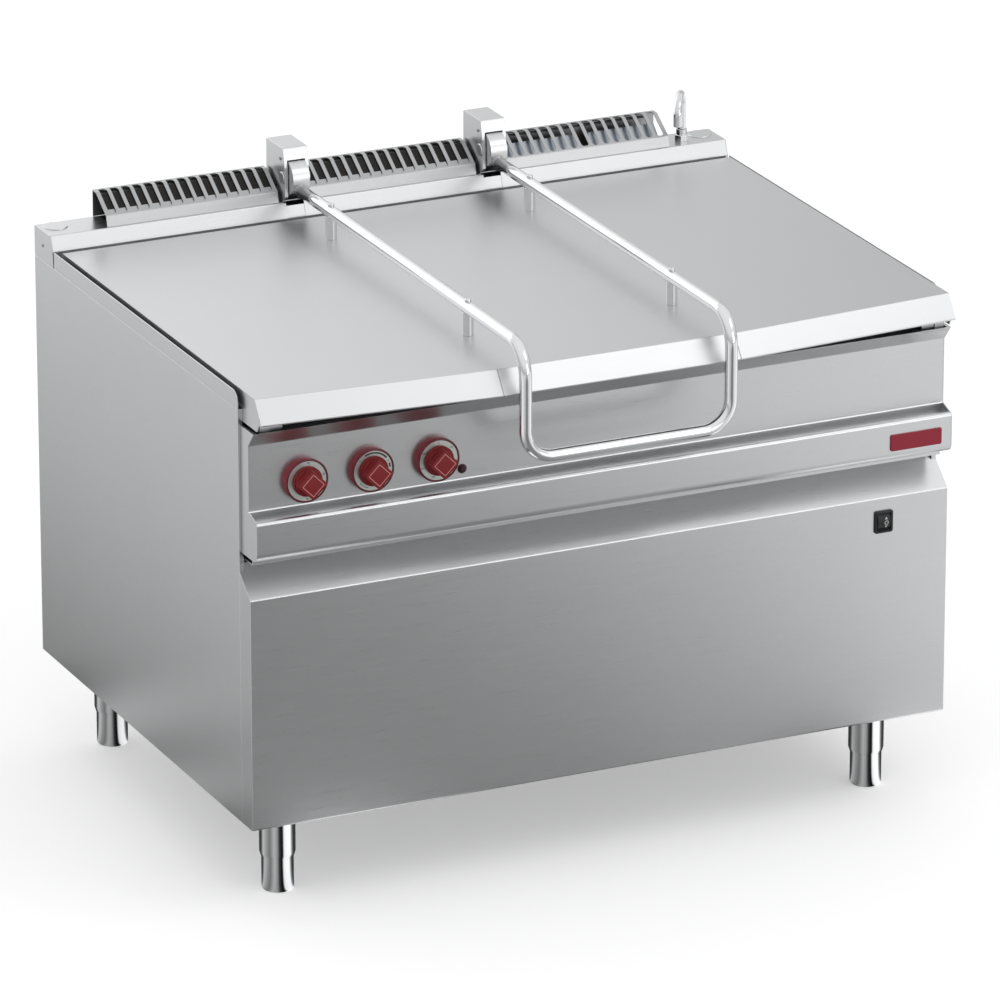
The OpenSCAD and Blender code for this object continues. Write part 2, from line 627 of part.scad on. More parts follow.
module pilot_lamp() place() color("#3b1f22") {
    rod_y(lamp_dia / 2, fascia_y - 3, fascia_y + 25, lamp_at[0], lamp_at[1]);
    rod_y(lamp_dia / 2 + 1.3, fascia_y - 1.5, fascia_y, lamp_at[0], lamp_at[1]);
    translate([lamp_at[0], fascia_y - 3, lamp_at[1]]) rotate([90, 0, 0])
        cylinder(r1 = lamp_dia / 2, r2 = lamp_dia / 2 - 2, h = 2.5, $fn = round_fn);
}

// Tilt switch: a frame on the panel, a body behind it and a rocker on a cross pin
rocker_w = 22;
rocker_h = 27;
rocker_y = 7;
rocker_r = 15.5;
module tilt_switch_frame() place() color("#1c1c1e") translate([switch_at[0], 0, switch_at[1]]) difference() {
    box_at(-switch_w / 2, switch_w / 2, -2.5, 0, -switch_h / 2, switch_h / 2);
    box_at(-rocker_w / 2 - 0.8, rocker_w / 2 + 0.8, -9, 9, -rocker_h / 2 - 1.5, rocker_h / 2 + 1.5);
}
module tilt_switch_body() place() color("#232325") translate([switch_at[0], 0, switch_at[1]]) difference() {
    box_at(-switch_w / 2 + 2 + seat_gap, switch_w / 2 - 2 - seat_gap, 0, 30,
        -switch_h / 2 + 2 + seat_gap, switch_h / 2 - 2 - seat_gap);
    box_at(-rocker_w / 2 - 0.8, rocker_w / 2 + 0.8, -9, 26, -rocker_h / 2 - 1.5, rocker_h / 2 + 1.5);
    rod_x(1.5 + run_gap, switch_w + 9, [0, rocker_y, 0]);
}
module tilt_switch_rocker() place() color("#161618") translate([switch_at[0], 0, switch_at[1]]) {
    along_x(rocker_w) polygon(concat(arc([rocker_y + 9, 0], rocker_r + 5, 138, 222),
        [[rocker_y + 4, -rocker_h / 2 + 2], [rocker_y + 4, rocker_h / 2 - 2]]));
    rod_x(1.5, switch_w - 5, [0, rocker_y, 0]);
}

// Tap: a base nut with a socket, and a bent spout that turns in it
tap_socket_z = housing_z + 20;
module tap_base() place() color("#c7c9cb") translate([tap_x, tap_y, 0]) difference() {
    union() {
        translate([0, 0, housing_z]) cylinder(d = 24, h = 10, $fn = 6);
        translate([0, 0, housing_z - 20]) cylinder(d = 12, h = 22, $fn = round_fn);
        translate([0, 0, housing_z + 9]) cylinder(d = 18, h = tap_socket_z - housing_z - 9, $fn = round_fn);
    }
    translate([0, 0, housing_z + 2]) cylinder(d = 10 + 2 * run_gap, h = 40, $fn = round_fn);
    translate([0, 0, housing_z - 30]) cylinder(d = 7, h = 40, $fn = round_fn);
}
module spout_tube(h) difference() {
    cylinder(d = spout_dia, h = h, $fn = round_fn);
    translate([0, 0, -through]) cylinder(d = spout_dia - 4.5, h = h + 2 * through, $fn = round_fn);
}
module tap_spout() place() color("#cdcfd1") translate([tap_x, tap_y, 0]) rotate([0, 0, -spout_angle]) {
    translate([0, 0, tap_socket_z + 0.3]) spout_tube(spout_z - spout_r - tap_socket_z - 0.3);
    difference() {
        translate([0, 0, housing_z + 4]) cylinder(d = 10, h = tap_socket_z - housing_z - 3, $fn = round_fn);
        translate([0, 0, housing_z]) cylinder(d = 7, h = 40, $fn = round_fn);
    }
    translate([0, -spout_r, spout_z - spout_r]) rotate([90, 0, 90]) rotate_extrude(angle = 180, $fn = 64)
        translate([spout_r, 0]) difference() {
            circle(d = spout_dia, $fn = round_fn);
            circle(d = spout_dia - 4.5, $fn = round_fn);
        }
    translate([0, -2 * spout_r, outlet_z]) spout_tube(spout_z - spout_r - outlet_z);
}
// Water line from the inlet in the back panel up to the tap
inlet_flange_t = 2;
module water_pipe() place() color("#b87b4b") difference() {
    translate([tap_x, tap_y, service_z + 11])
        cylinder(d = 11.6, h = housing_z - 20 - service_z - 11, $fn = round_fn);
    translate([tap_x, tap_y, service_z]) cylinder(d = 8, h = housing_z, $fn = round_fn);
}
module water_inlet() place() color("#c8a85a") difference() {
    union() {
        rod_y(inlet_dia / 2, back_panel_y - 4, back_panel_y + inlet_flange_t + inlet_l, tap_x, service_z);
        rod_y(inlet_dia / 2 + 3.5, back_panel_y, back_panel_y + inlet_flange_t, tap_x, service_z);
        box_at(tap_x - 13, tap_x + 13, tap_y - 15, back_panel_y - sheet, service_z - 13, service_z + 11);
    }
    rod_y(7, tap_y, back_panel_y + inlet_flange_t + inlet_l + through, tap_x, service_z);
    translate([tap_x, tap_y, service_z]) cylinder(d = 8, h = 30, $fn = round_fn);
}
module cable_gland() place() color("#2b2b2d") {
    tube_y(gland_r + 5, gland_r + 5 - gland_bore / 2, back_panel_y, back_panel_y + 16, gland_x, service_z);
    tube_y(gland_r, gland_r - gland_bore / 2, back_panel_y - 12, back_panel_y, gland_x, service_z);
}
module terminal_box() place() color("#d2d2cc") difference() {
    y1 = back_panel_y - sheet;
    box_at(gland_x - 60, gland_x + 60, y1 - 66, y1, service_z - 30, service_z + 70);
    box_at(gland_x - 57, gland_x + 57, y1 - 63, y1 - 2.5, service_z - 27, service_z + 67);
    rod_y(gland_r + seat_gap, back_panel_y - 20, back_panel_y + 9, gland_x, service_z);
}

// Lid: a folded sheet with skirts; its sloping front has a hem, and bows forward in three flat sections
lid_half = lid_w / 2;
lid_bend_r = lid_t + 0.4;
lid_hem = 14;
lid_lap = 20;
lid_joint_y = 40;
seam_x = arm_x + seam_out;
side_run = lid_half - seam_x;
lid_front_fold = [[lid_crease_y, lid_z], [lid_front_y, lid_front_z], [lid_front_y + lid_hem, lid_front_z]];
lid_back_fold = [[lid_back_y, skirt_z], [lid_back_y, lid_z]];
module lid_sheet(path) polygon(folded(bent(path, lid_bend_r), lid_t));
module lid_front() lid_sheet(concat([[lid_joint_y + lid_bow + lid_lap, lid_z]], lid_front_fold));
module lid_shell() place() color("#cbcccd") {
    along_x(lid_w) lid_sheet(concat(lid_back_fold, [[lid_joint_y, lid_z]]));
    translate([0, -lid_bow, 0]) along_x(2 * seam_x) lid_front();
    both_sides() {
        difference() {
            translate([seam_x, -lid_bow, 0]) rotate([0, 0, atan2(lid_bow, side_run)])
                along_x(side_run + 2 * lid_lap, side_run / 2) lid_front();
            box_at(seam_x - 2 * lid_lap, seam_x, -2 * tray_d - lid_bow, lid_back_y, skirt_z, lid_z + through);
            box_at(lid_half, lid_half + 2 * lid_lap, -2 * tray_d, lid_back_y, skirt_z, lid_z + through);
        }
        along_x(lid_t, lid_half - lid_t / 2) polygon(concat(
            bent(concat(lid_back_fold, lid_front_fold), lid_bend_r), [[lid_front_y + 21, skirt_z]]));
    }
}
rib_w = 60;
rib_h = 8;
rib_t = 2;
rib_end = 60;
module lid_ribs() place() color("#a9abad") for (s = [-1, 1]) translate([s * arm_x, 0, 0]) difference() {
    z1 = lid_z - lid_t;
    box_at(-rib_w / 2, rib_w / 2, rib_end, lid_back_y - rib_end, z1 - rib_h, z1);
    box_at(rib_t - rib_w / 2, rib_w / 2 - rib_t, rib_end + rib_t, lid_back_y - rib_end - rib_t,
        z1 - rib_h + rib_t, z1 + through);
}
module handle_posts() place() color("#c9cbcd") for (s = [-1, 1], y = post_y) difference() {
    translate([s * arm_x, y, lid_z]) cylinder(d = post_dia, h = arm_z - tube_r + 3 - lid_z, $fn = round_fn);
    rod_y(tube_r + 0.02, y - 20, y + 20, s * arm_x, arm_z);
}

// Handle: one bent tube, two arms over the lid and a U in front of it
module tube_bend(r, a) rotate_extrude(angle = a, $fn = 96) translate([r, 0]) difference() {
    circle(r = tube_r, $fn = round_fn);
    circle(r = tube_r - tube_t, $fn = round_fn);
}
arm_end_y = hinge_y - drum_r;
module handle_frame() place() color("#cfd1d3") {
    bend_y = limb_y + arm_bend_r;
    both_sides() {
        tube_y(tube_r, tube_t, bend_y, arm_end_y, arm_x, arm_z);
        translate([arm_x, bend_y, arm_z - arm_bend_r]) rotate([90, 0, 90]) rotate([0, 0, 90])
            tube_bend(arm_bend_r, 90);
        translate([arm_x, limb_y, bar_z + bar_bend_r]) difference() {
            cylinder(r = tube_r, h = arm_z - arm_bend_r - bar_z - bar_bend_r, $fn = round_fn);
            translate([0, 0, -through]) cylinder(r = tube_r - tube_t, h = arm_z, $fn = round_fn);
        }
        translate([arm_x - bar_bend_r, limb_y, bar_z + bar_bend_r]) rotate([90, 0, 0]) rotate([0, 0, -90])
            tube_bend(bar_bend_r, 90);
    }
    difference() {
        rod_x(tube_r, 2 * (arm_x - bar_bend_r), [0, limb_y, bar_z]);
        rod_x(tube_r - tube_t, 2 * arm_x, [0, limb_y, bar_z]);
    }
}
module hinge_drums() place() color("#bfc1c3") for (s = [-1, 1]) difference() {
    union() {
        rod_x(drum_r, drum_w, [s * arm_x, hinge_y, hinge_z]);
        rod_y(tube_r, arm_end_y, hinge_y - 12, s * arm_x, arm_z);
    }
    rod_x(hinge_pin_dia / 2 + run_gap, drum_w + 9, [s * arm_x, hinge_y, hinge_z]);
}

// Pan: folded walls with a rolled rim, a pouring lip in the middle and two flat ends
upstand_y = 24;
pan_r = 20;
pan_path = concat(bent([[upstand_y, pan_rim_z], [pan_front_y - 20, pan_rim_z],
    [pan_front_y - 7, pan_rim_z - 60]], 12),
    arc([pan_front_y + pan_r, pan_floor_z + pan_r], pan_r, 180, 270),
    arc([pan_back_y - pan_r, pan_floor_z + pan_r], pan_r, 270, 360),
    [[pan_back_y, pan_rim_z], [pan_rim_back, pan_rim_z]]);
module pan_vessel() place() color("#b3b5b7") {
    along_x(pan_w) polygon(folded(pan_path, pan_t));
    along_x(lip_w) polygon(folded([[lip_y, pan_rim_z - 4], [lip_y + 4, pan_rim_z],
        [upstand_y + 1, pan_rim_z]], pan_t));
    both_sides() {
        box_at(lip_w / 2 - pan_t, pan_half, upstand_y, upstand_y + pan_t, pan_rim_z, pan_rim_z + 12);
        box_at(lip_w / 2 - pan_t, lip_w / 2, lip_y + 6, upstand_y + 1, pan_rim_z, pan_rim_z + 8);
        along_x(pan_t, pan_half - pan_t / 2) polygon(concat(pan_path, [[pan_rim_back, pan_rim_z + 6],
            [upstand_y, pan_rim_z + 12]]));
    }
}
module pan_base_plate() place() color("#77797b")
    box_at(8 - pan_half, pan_half - 8, pan_front_y + 22, pan_back_y - 22, pan_floor_z - plate_t, pan_floor_z);

// Heating elements: tubular hairpins held against the plate
module heating_elements() place() color("#5d5f62") for (i = [0:heater_count - 1]) {
    gap = (pan_w - 120) / heater_count;
    r = gap / 4;
    y0 = pan_front_y + 60;
    y1 = pan_back_y - 40 - r;
    translate([(i - (heater_count - 1) / 2) * gap, 0, pan_floor_z - plate_t - heater_dia / 2]) {
        for (s = [-1, 1]) rod_y(heater_dia / 2, y0, y1, s * r, 0);
        translate([0, y1, 0]) rotate_extrude(angle = 180, $fn = 64) translate([r, 0])
            circle(d = heater_dia, $fn = small_fn);
    }
}
// Casing under the pan, with the rail on which the jack's roller runs
module pan_casing() place() color("#8f9193") {
    path = [[pan_front_y - 4, pan_floor_z + 32], [pan_front_y - 4, casing_z], [pan_back_y + sheet, casing_z],
        [pan_back_y + sheet, pan_floor_z + 32]];
    along_x(pan_w + 2 * sheet) polygon(folded(path, sheet));
    both_sides() along_x(sheet, pan_half + sheet / 2) polygon(path);
    box_at(-40, 40, jack_y - 132, jack_y + 40, rail_z, casing_z);
}
// Ears with the pivot pins, bolted to the pan's ends
module pan_trunnions() place() color("#85878a") both_sides() {
    along_x(ear_t, pan_half + ear_t / 2) polygon([[pivot_y, pan_rim_z - 3], [pan_front_y + 66, pan_rim_z - 3],
        [pan_front_y + 66, pan_rim_z - 70], [pan_front_y + 20, pan_rim_z - 70],
        [pan_front_y - 12, pan_rim_z - 26],
        [pan_front_y - 22, pan_rim_z - 14], [pivot_y, pivot_z - 3]]);
    rod_x(9, ear_t, [pan_half + ear_t / 2, pivot_y, pivot_z]);
    rod_x(9, bracket_in - ear_out - 0.5, [(ear_out + bracket_in - 0.5) / 2, pivot_y, pivot_z]);
    rod_x(pivot_dia / 2, bracket_in + bracket_t + 3 - ear_out,
        [(ear_out + bracket_in + bracket_t + 3) / 2, pivot_y, pivot_z]);
}
// Brackets on the side panels, each with the bore for one pivot pin
bracket_y = 68;
bracket_h = 163;
module pivot_brackets() place() color("#7f8184") both_sides() {
    difference() {
        union() {
            along_x(bracket_t, bracket_in + bracket_t / 2) polygon([[pivot_y, pivot_z - 11],
                [bracket_y - 18, pivot_z - 11], [bracket_y - 18, pivot_z - bracket_h],
                [bracket_y + 18, pivot_z - bracket_h], [bracket_y + 18, pivot_z - 14],
                [bracket_y + 2, pivot_z + 9], [pivot_y, pivot_z + 9]]);
            rod_x(11, bracket_t, [bracket_in + bracket_t / 2, pivot_y, pivot_z]);
        }
        rod_x(pivot_dia / 2 + run_gap, bracket_t + 9, [bracket_in + bracket_t / 2, pivot_y, pivot_z]);
    }
    for (z = [pivot_z - bracket_h + 25, pivot_z - 43]) rod_x(10, inner_w / 2 - bracket_in - bracket_t,
        [(inner_w / 2 + bracket_in + bracket_t) / 2, bracket_y, z]);
}

// Screw jack: gearbox and motor on the floor, a tube, and a rod with a roller at its head
module jack_gearbox() place() color("#6f7376") {
    box_at(-gearbox_half, gearbox_half, jack_y - 40, jack_y + 40, floor_z, jack_foot_z);
    box_at(-gearbox_half - 15, gearbox_half + 15, jack_y - 45, jack_y + 45, floor_z, floor_z + 6);
}
motor_l = 150;
module jack_motor() place() color("#54585c") {
    motor_z = jack_foot_z - motor_dia / 2 + 10;
    rod_x(motor_dia / 2, motor_l, [gearbox_half + motor_l / 2, jack_y, motor_z]);
    rod_x(motor_dia / 2 - 3, 20, [gearbox_half + motor_l + 10, jack_y, motor_z]);
}
module jack_tube() place() color("#8b8e91") translate([0, jack_y, 0]) difference() {
    translate([0, 0, jack_foot_z]) cylinder(d = jack_dia, h = jack_top_z - jack_foot_z, $fn = round_fn);
    translate([0, 0, rod_low_z - 4]) cylinder(r = rod_dia / 2 + run_gap, h = jack_top_z, $fn = round_fn);
}
module jack_rod() place() color("#b9bcbf") translate([0, jack_y, 0]) {
    translate([0, 0, rod_low_z])
        cylinder(d = rod_dia, h = roller_z - roller_dia / 2 - 5 - rod_low_z, $fn = round_fn);
    difference() {
        box_at(-22, 22, -9, 9, roller_z - roller_dia / 2 - 9, roller_z + 8);
        box_at(-14, 14, -10, 10, roller_z - roller_dia / 2 - 3, roller_z + 9);
        rod_x(5 + 0.02, 60, [0, 0, roller_z]);
    }
}
module jack_roller() place() color("#4a4d50") {
    rod_x(roller_dia / 2, 27, [0, jack_y, roller_z]);
    rod_x(5, 48, [0, jack_y, roller_z]);
}

base_frame();
leg_sleeves();
leg_feet();
bottom_panel();
side_panel_left();
side_panel_right();
back_panel();
front_panel();
top_frame();
rear_housing();
housing_end_cap_left();
housing_end_cap_right();
blanking_caps();
vent_grille_left();
vent_grille_middle();
vent_grille_right();
smoke_deflectors();
hinge_box_left();
hinge_box_right();
hinge_pins();
fascia_panel();
fascia_end_cap_left();
fascia_end_cap_right();
control_box();
under_rail_strip();
knob_bezels();
dial_plates();
water_valve();
power_regulator();
thermostat();
water_knob();
power_knob();
temperature_knob();
pilot_lamp();
tilt_switch_frame();
tilt_switch_body();
tilt_switch_rocker();
tap_base();
tap_spout();
water_pipe();
water_inlet();
cable_gland();
terminal_box();
lid_shell();
lid_ribs();
handle_posts();
handle_frame();
hinge_drums();
pan_vessel();
pan_base_plate();
heating_elements();
pan_casing();
pan_trunnions();
pivot_brackets();
jack_gearbox();
jack_motor();
jack_tube();
jack_rod();
jack_roller();
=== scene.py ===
"""Looks of a tilting bratt pan: stainless sheets, polished legs and handle, red knobs.

The sections follow the unit as it is put together, from its base up to its lid and down into its drive.
Places are written in millimetres: across from the middle, back from the lower front panel, and up from the
floor.
"""

import json
from math import cos, pi, radians, sin

import bmesh
import bpy
from mathutils import Matrix, Vector

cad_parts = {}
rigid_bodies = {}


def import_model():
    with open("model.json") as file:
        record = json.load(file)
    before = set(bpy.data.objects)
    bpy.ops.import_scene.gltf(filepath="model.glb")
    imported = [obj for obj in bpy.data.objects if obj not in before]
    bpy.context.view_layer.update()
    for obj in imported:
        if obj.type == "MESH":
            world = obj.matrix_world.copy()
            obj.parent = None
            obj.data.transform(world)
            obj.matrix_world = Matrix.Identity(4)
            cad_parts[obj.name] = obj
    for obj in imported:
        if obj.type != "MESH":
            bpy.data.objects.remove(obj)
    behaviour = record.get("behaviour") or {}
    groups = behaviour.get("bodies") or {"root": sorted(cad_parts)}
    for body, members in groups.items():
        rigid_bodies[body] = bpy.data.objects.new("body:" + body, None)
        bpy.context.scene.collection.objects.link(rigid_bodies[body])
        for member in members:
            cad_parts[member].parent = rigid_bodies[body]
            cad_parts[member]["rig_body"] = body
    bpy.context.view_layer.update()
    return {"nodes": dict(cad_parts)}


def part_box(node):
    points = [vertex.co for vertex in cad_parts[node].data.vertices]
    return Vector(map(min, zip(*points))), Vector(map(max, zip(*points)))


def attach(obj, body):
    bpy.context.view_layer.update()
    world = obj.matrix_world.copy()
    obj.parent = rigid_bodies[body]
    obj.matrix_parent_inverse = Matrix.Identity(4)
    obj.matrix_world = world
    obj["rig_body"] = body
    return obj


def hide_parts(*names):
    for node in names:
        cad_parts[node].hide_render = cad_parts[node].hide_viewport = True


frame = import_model()
nodes = frame["nodes"]
MM = 0.001

# ---------------------------------------------------------------- Camera
# A long lens far off to the left and above, as the photograph was taken: its lines hardly converge.
camera = bpy.data.objects.new("camera", bpy.data.cameras.new("camera"))
camera.data.lens = 298.95
camera.data.sensor_width = 36
camera.data.clip_end = 60
camera.location = (-5.24976, -11.25563, 5.03359)
camera.rotation_euler = (radians(69.821), 0, radians(-25.001))
bpy.context.scene.collection.objects.link(camera)
bpy.context.scene.camera = camera
bpy.context.scene.view_settings.view_transform = "Standard"


# ---------------------------------------------------------------- Studio floor, backdrop and lamps
# A white sheet lies under and behind the unit. It is white for the camera; for mirror rays it is painted in
# greys, so that steel shows a painted reflection, and two cards and two lamps give the lid, the rear housing
# and the rail their bright areas.
def linear(text):
    """A colour written as sRGB hex, in the linear values that a shader takes."""
    steps = [int(text[i : i + 2], 16) / 255 for i in (1, 3, 5)]
    return [c / 12.92 if c <= 0.04045 else ((c + 0.055) / 1.055) ** 2.4 for c in steps] + [1]


def add(tree, kind, inputs=None, **settings):
    """Adds a node with its settings; inputs maps a socket to a value or to the socket that feeds it."""
    node = tree.nodes.new("ShaderNode" + kind)
    for key, value in settings.items():
        setattr(node, key, value)
    for key, value in (inputs or {}).items():
        if isinstance(value, bpy.types.NodeSocket):
            tree.links.new(value, node.inputs[key])
        else:
            node.inputs[key].default_value = value
    return node


def ramp(tree, source, stops):
    """A colour ramp over source with (place, sRGB hex) stops."""
    node = add(tree, "ValToRGB", {0: source})
    while len(node.color_ramp.elements) < len(stops):
        node.color_ramp.elements.new(0.5)
    for element, (place, text) in zip(node.color_ramp.elements, stops):
        element.position = place
        element.color = linear(text)
    return node.outputs[0]


def empty_material(name):
    material = bpy.data.materials.new(name)
    material.use_nodes = True
    material.node_tree.nodes.clear()
    return material, material.node_tree


# Painted reflection: the sheet's painted greys across the room, from 2.4 m left to 2.4 m right, which only
# mirror rays see.
PAINTED_MIRROR_GREYS = [(0.0, "#F2F2F2"), (0.19, "#DDDDDD"), (0.25, "#CDCDCD"), (0.32, "#A8A8A8"), (0.38, "#888888"),
               (0.49, "#888888"), (0.54, "#909090"), (0.59, "#A8A8A8"), (0.65, "#C4C4C4"), (0.71, "#EAEAEA"),
               (0.78, "#FFFFFF")]
# Painted reflection: the greys of the rays painted on the sheet round a leg, in one turn from its left by its
# front, right and back.
LEG_R = 25.4
PAINTED_LEG_RAYS = [(0.0, "#8A8A8A"), (0.06, "#6E6E6E"), (0.13, "#A6A6A6"), (0.18, "#8C8C8C"), (0.215, "#3A3A3A"),
             (0.25, "#0C0C0C"), (0.275, "#1A1A1A"), (0.3, "#E8E8E8"), (0.36, "#FFFFFF"), (0.42, "#FFFFFF"),
             (0.455, "#8E8E8E"), (0.5, "#3C3C3C"), (0.86, "#3C3C3C"), (0.92, "#B4B4B4"), (1.0, "#8A8A8A")]
RAY_GAIN = 1.8
RAY_REACH = 0.42
# For mirrors the sheet's painted greys are paint and glow in these shares. For the camera it glows by
# CAMERA_GLOW.
MIRROR_PAINT = 0.35
MIRROR_GLOW = 0.56
CAMERA_GLOW = 0.375


def sheet_of_paper(name):
    """White for the camera. For mirror rays it is painted grey near the unit and pale farther off, a painted
    reflection.
    """
    material, tree = empty_material(name)
    place = add(tree, "SeparateXYZ", {0: add(tree, "TexCoord").outputs["Object"]})
    side = add(tree, "MapRange", {0: place.outputs["X"], 1: -2.4, 2: 2.4})
    grey = ramp(tree, side.outputs[0], PAINTED_MIRROR_GREYS)
    near = add(tree, "MapRange", {0: place.outputs["Y"], 1: -1.9, 2: -0.9, 3: 1.0, 4: 1.34})
    beside = add(tree, "MapRange", {0: place.outputs["Y"], 1: -0.6, 2: -0.1, 3: 1.0, 4: 0.84})
    depth = add(tree, "Math", {0: near.outputs[0], 1: beside.outputs[0]}, operation="MULTIPLY")
    grey = add(tree, "VectorMath", {0: grey, 3: depth.outputs[0]}, operation="SCALE").outputs[0]
    # Round each leg the sheet has painted dark and bright rays that only mirror rays see, so that the leg
    # shows upright stripes of painted reflection.
    low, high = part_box("leg_feet")
    from_leg = []
    for i in (0, 1):
        off = add(tree, "Math", {0: place.outputs[i], 1: (low[i] + high[i]) / 2}, operation="SUBTRACT")
        side = add(tree, "Math", {0: off.outputs[0]}, operation="SIGN")
        half = (high[i] - low[i]) / 2 - LEG_R * MM
        leg = add(tree, "Math", {0: side.outputs[0], 1: half}, operation="MULTIPLY")
        way = add(tree, "Math", {0: off.outputs[0], 1: leg.outputs[0]}, operation="SUBTRACT")
        from_leg.append(way.outputs[0])
    angle = add(tree, "Math", {0: from_leg[1], 1: from_leg[0]}, operation="ARCTAN2")
    turn = add(tree, "MapRange", {0: angle.outputs[0], 1: -pi, 2: pi})
    tones = ramp(tree, turn.outputs[0], PAINTED_LEG_RAYS)
    rays = add(tree, "VectorMath", {0: tones, 3: RAY_GAIN}, operation="SCALE")
    spot = add(tree, "CombineXYZ", {0: from_leg[0], 1: from_leg[1]})
    reach = add(tree, "VectorMath", {0: spot.outputs[0]}, operation="LENGTH")
    zone = add(tree, "MapRange", {0: reach.outputs["Value"], 1: RAY_REACH - 0.06, 2: RAY_REACH,
                                  3: 1.0, 4: 0.0})
    grey = add(tree, "MixRGB", {0: zone.outputs[0], 1: grey, 2: rays.outputs[0]}).outputs[0]
    seen = add(tree, "LightPath").outputs["Is Camera Ray"]
    dim = add(tree, "VectorMath", {0: grey, 3: MIRROR_PAINT}, operation="SCALE")
    colour = add(tree, "MixRGB", {0: seen, 1: dim.outputs[0], 2: linear("#DCDCDC")})
    paper = add(tree, "BsdfDiffuse", {0: colour.outputs[0]})
    lift = add(tree, "MapRange", {0: seen, 3: MIRROR_GLOW, 4: CAMERA_GLOW})
    tone = add(tree, "MixRGB", {0: seen, 1: grey, 2: linear("#FFFFFF")})
    glow = add(tree, "Emission", {0: tone.outputs[0], 1: lift.outputs[0]})
    sheet = add(tree, "AddShader", {0: paper.outputs[0], 1: glow.outputs[0]})
    add(tree, "OutputMaterial", {0: sheet.outputs[0]})
    return material


def piece_of(bm, name, material):
    """Makes an object of a finished bmesh, in metres, and frees the bmesh."""
    mesh = bpy.data.meshes.new(name)
    bm.to_mesh(mesh)
    bm.free()
    mesh.materials.append(material)
    thing = bpy.data.objects.new(name, mesh)
    bpy.context.scene.collection.objects.link(thing)
    return thing


FLOOR_HALF = 9
bm = bmesh.new()
bmesh.ops.create_grid(bm, x_segments=2, y_segments=2, size=FLOOR_HALF)
floor = piece_of(bm, "floor", sheet_of_paper("white sheet with painted mirror greys"))


def mirror_card(name, middle, half, glow_at):
    """A glowing upright card that only mirrors see; glow_at gives its strength at two places across."""
    bm = bmesh.new()
    bmesh.ops.create_grid(bm, x_segments=2, y_segments=2, size=1)
    bmesh.ops.scale(bm, verts=bm.verts, vec=(*half, 1))
    bmesh.ops.rotate(bm, verts=bm.verts, cent=(0, 0, 0), matrix=Matrix.Rotation(pi / 2, 3, "X"))
    bmesh.ops.translate(bm, verts=bm.verts, vec=middle)
    material, tree = empty_material("glowing " + name)
    place = add(tree, "SeparateXYZ", {0: add(tree, "TexCoord").outputs["Object"]})
    (left, strong), (right, weak) = glow_at
    side = add(tree, "MapRange", {0: place.outputs["X"], 1: left, 2: right, 3: strong, 4: weak})
    glow = add(tree, "Emission", {1: side.outputs[0]})
    add(tree, "OutputMaterial", {0: glow.outputs[0]})
    card = piece_of(bm, name, material)
    card.visible_camera = False
    card.visible_diffuse = False
    card.visible_shadow = False


# The lid and the handle's arms show the card behind, brighter on the left. The rear housing's slope, the
# hinge hoods and the rail's nose show the one in front. Places and sizes here are in metres.
mirror_card("card_behind", (1.0, 3.2, 2.5), (4.5, 2.4), ((-1.0, 1.52), (2.6, 0.645)))
mirror_card("card_in_front", (2.9, -6.4, 2.6), (2.3, 1.55), ((1.0, 1.5), (5.0, 1.6)))

world = bpy.data.worlds.new("studio")
bpy.context.scene.world = world
world.use_nodes = True
tree = world.node_tree
tree.nodes.clear()
aim = add(tree, "SeparateXYZ", {0: add(tree, "TexCoord").outputs["Generated"]})
height = add(tree, "MapRange", {0: aim.outputs["Z"], 1: -0.2, 2: 1.0})
ROOM_STOPS = [(0.0, "#B0B0B0"), (0.2, "#C8C9CA"), (0.42, "#F4F4F4"), (1.0, "#FFFFFF")]
room = ramp(tree, height.outputs[0], ROOM_STOPS)
path = add(tree, "LightPath")
plain = add(tree, "MixRGB", {0: path.outputs["Is Camera Ray"], 1: room, 2: linear("#FFFFFF")})
sky = add(tree, "Background", {0: plain.outputs[0], 1: 1.0})
add(tree, "OutputWorld", {0: sky.outputs[0]})


def softbox(name, place, aim_at, size, power):
    """A rectangular lamp at a place in metres, aimed at another; power is in watts."""
    lamp = bpy.data.lights.new(name, "AREA")
    lamp.shape = "RECTANGLE"
    lamp.size, lamp.size_y = size
    lamp.energy = power
    thing = bpy.data.objects.new(name, lamp)
    thing.location = place
    thing.rotation_euler = (Vector(aim_at) - Vector(place)).to_track_quat("-Z", "Y").to_euler()
    bpy.context.scene.collection.objects.link(thing)


softbox("front softbox", (2.75, -3.5, 5.3), (0.2, -0.4, 0.8), (3.3, 2.2), 29)
softbox("low strip", (2.7, -6.0, 1.2), (0, 0.4, 0.85), (4.2, 0.9), 30)


# ---------------------------------------------------------------- Steel sheets and how a sheet is finished
# Most of the unit is folded stainless sheet with a satin finish: it was ground with a fine belt, so it has
# short parallel scratches and a soft, slightly uneven gloss. Its edges are broken and catch a thin light.
FACE_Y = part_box("front_panel")[0].y


def at(x, y, z):
    """A place in millimetres, as the heading says, in the frame's metres."""
    return Vector((x * MM, y * MM + FACE_Y, z * MM))


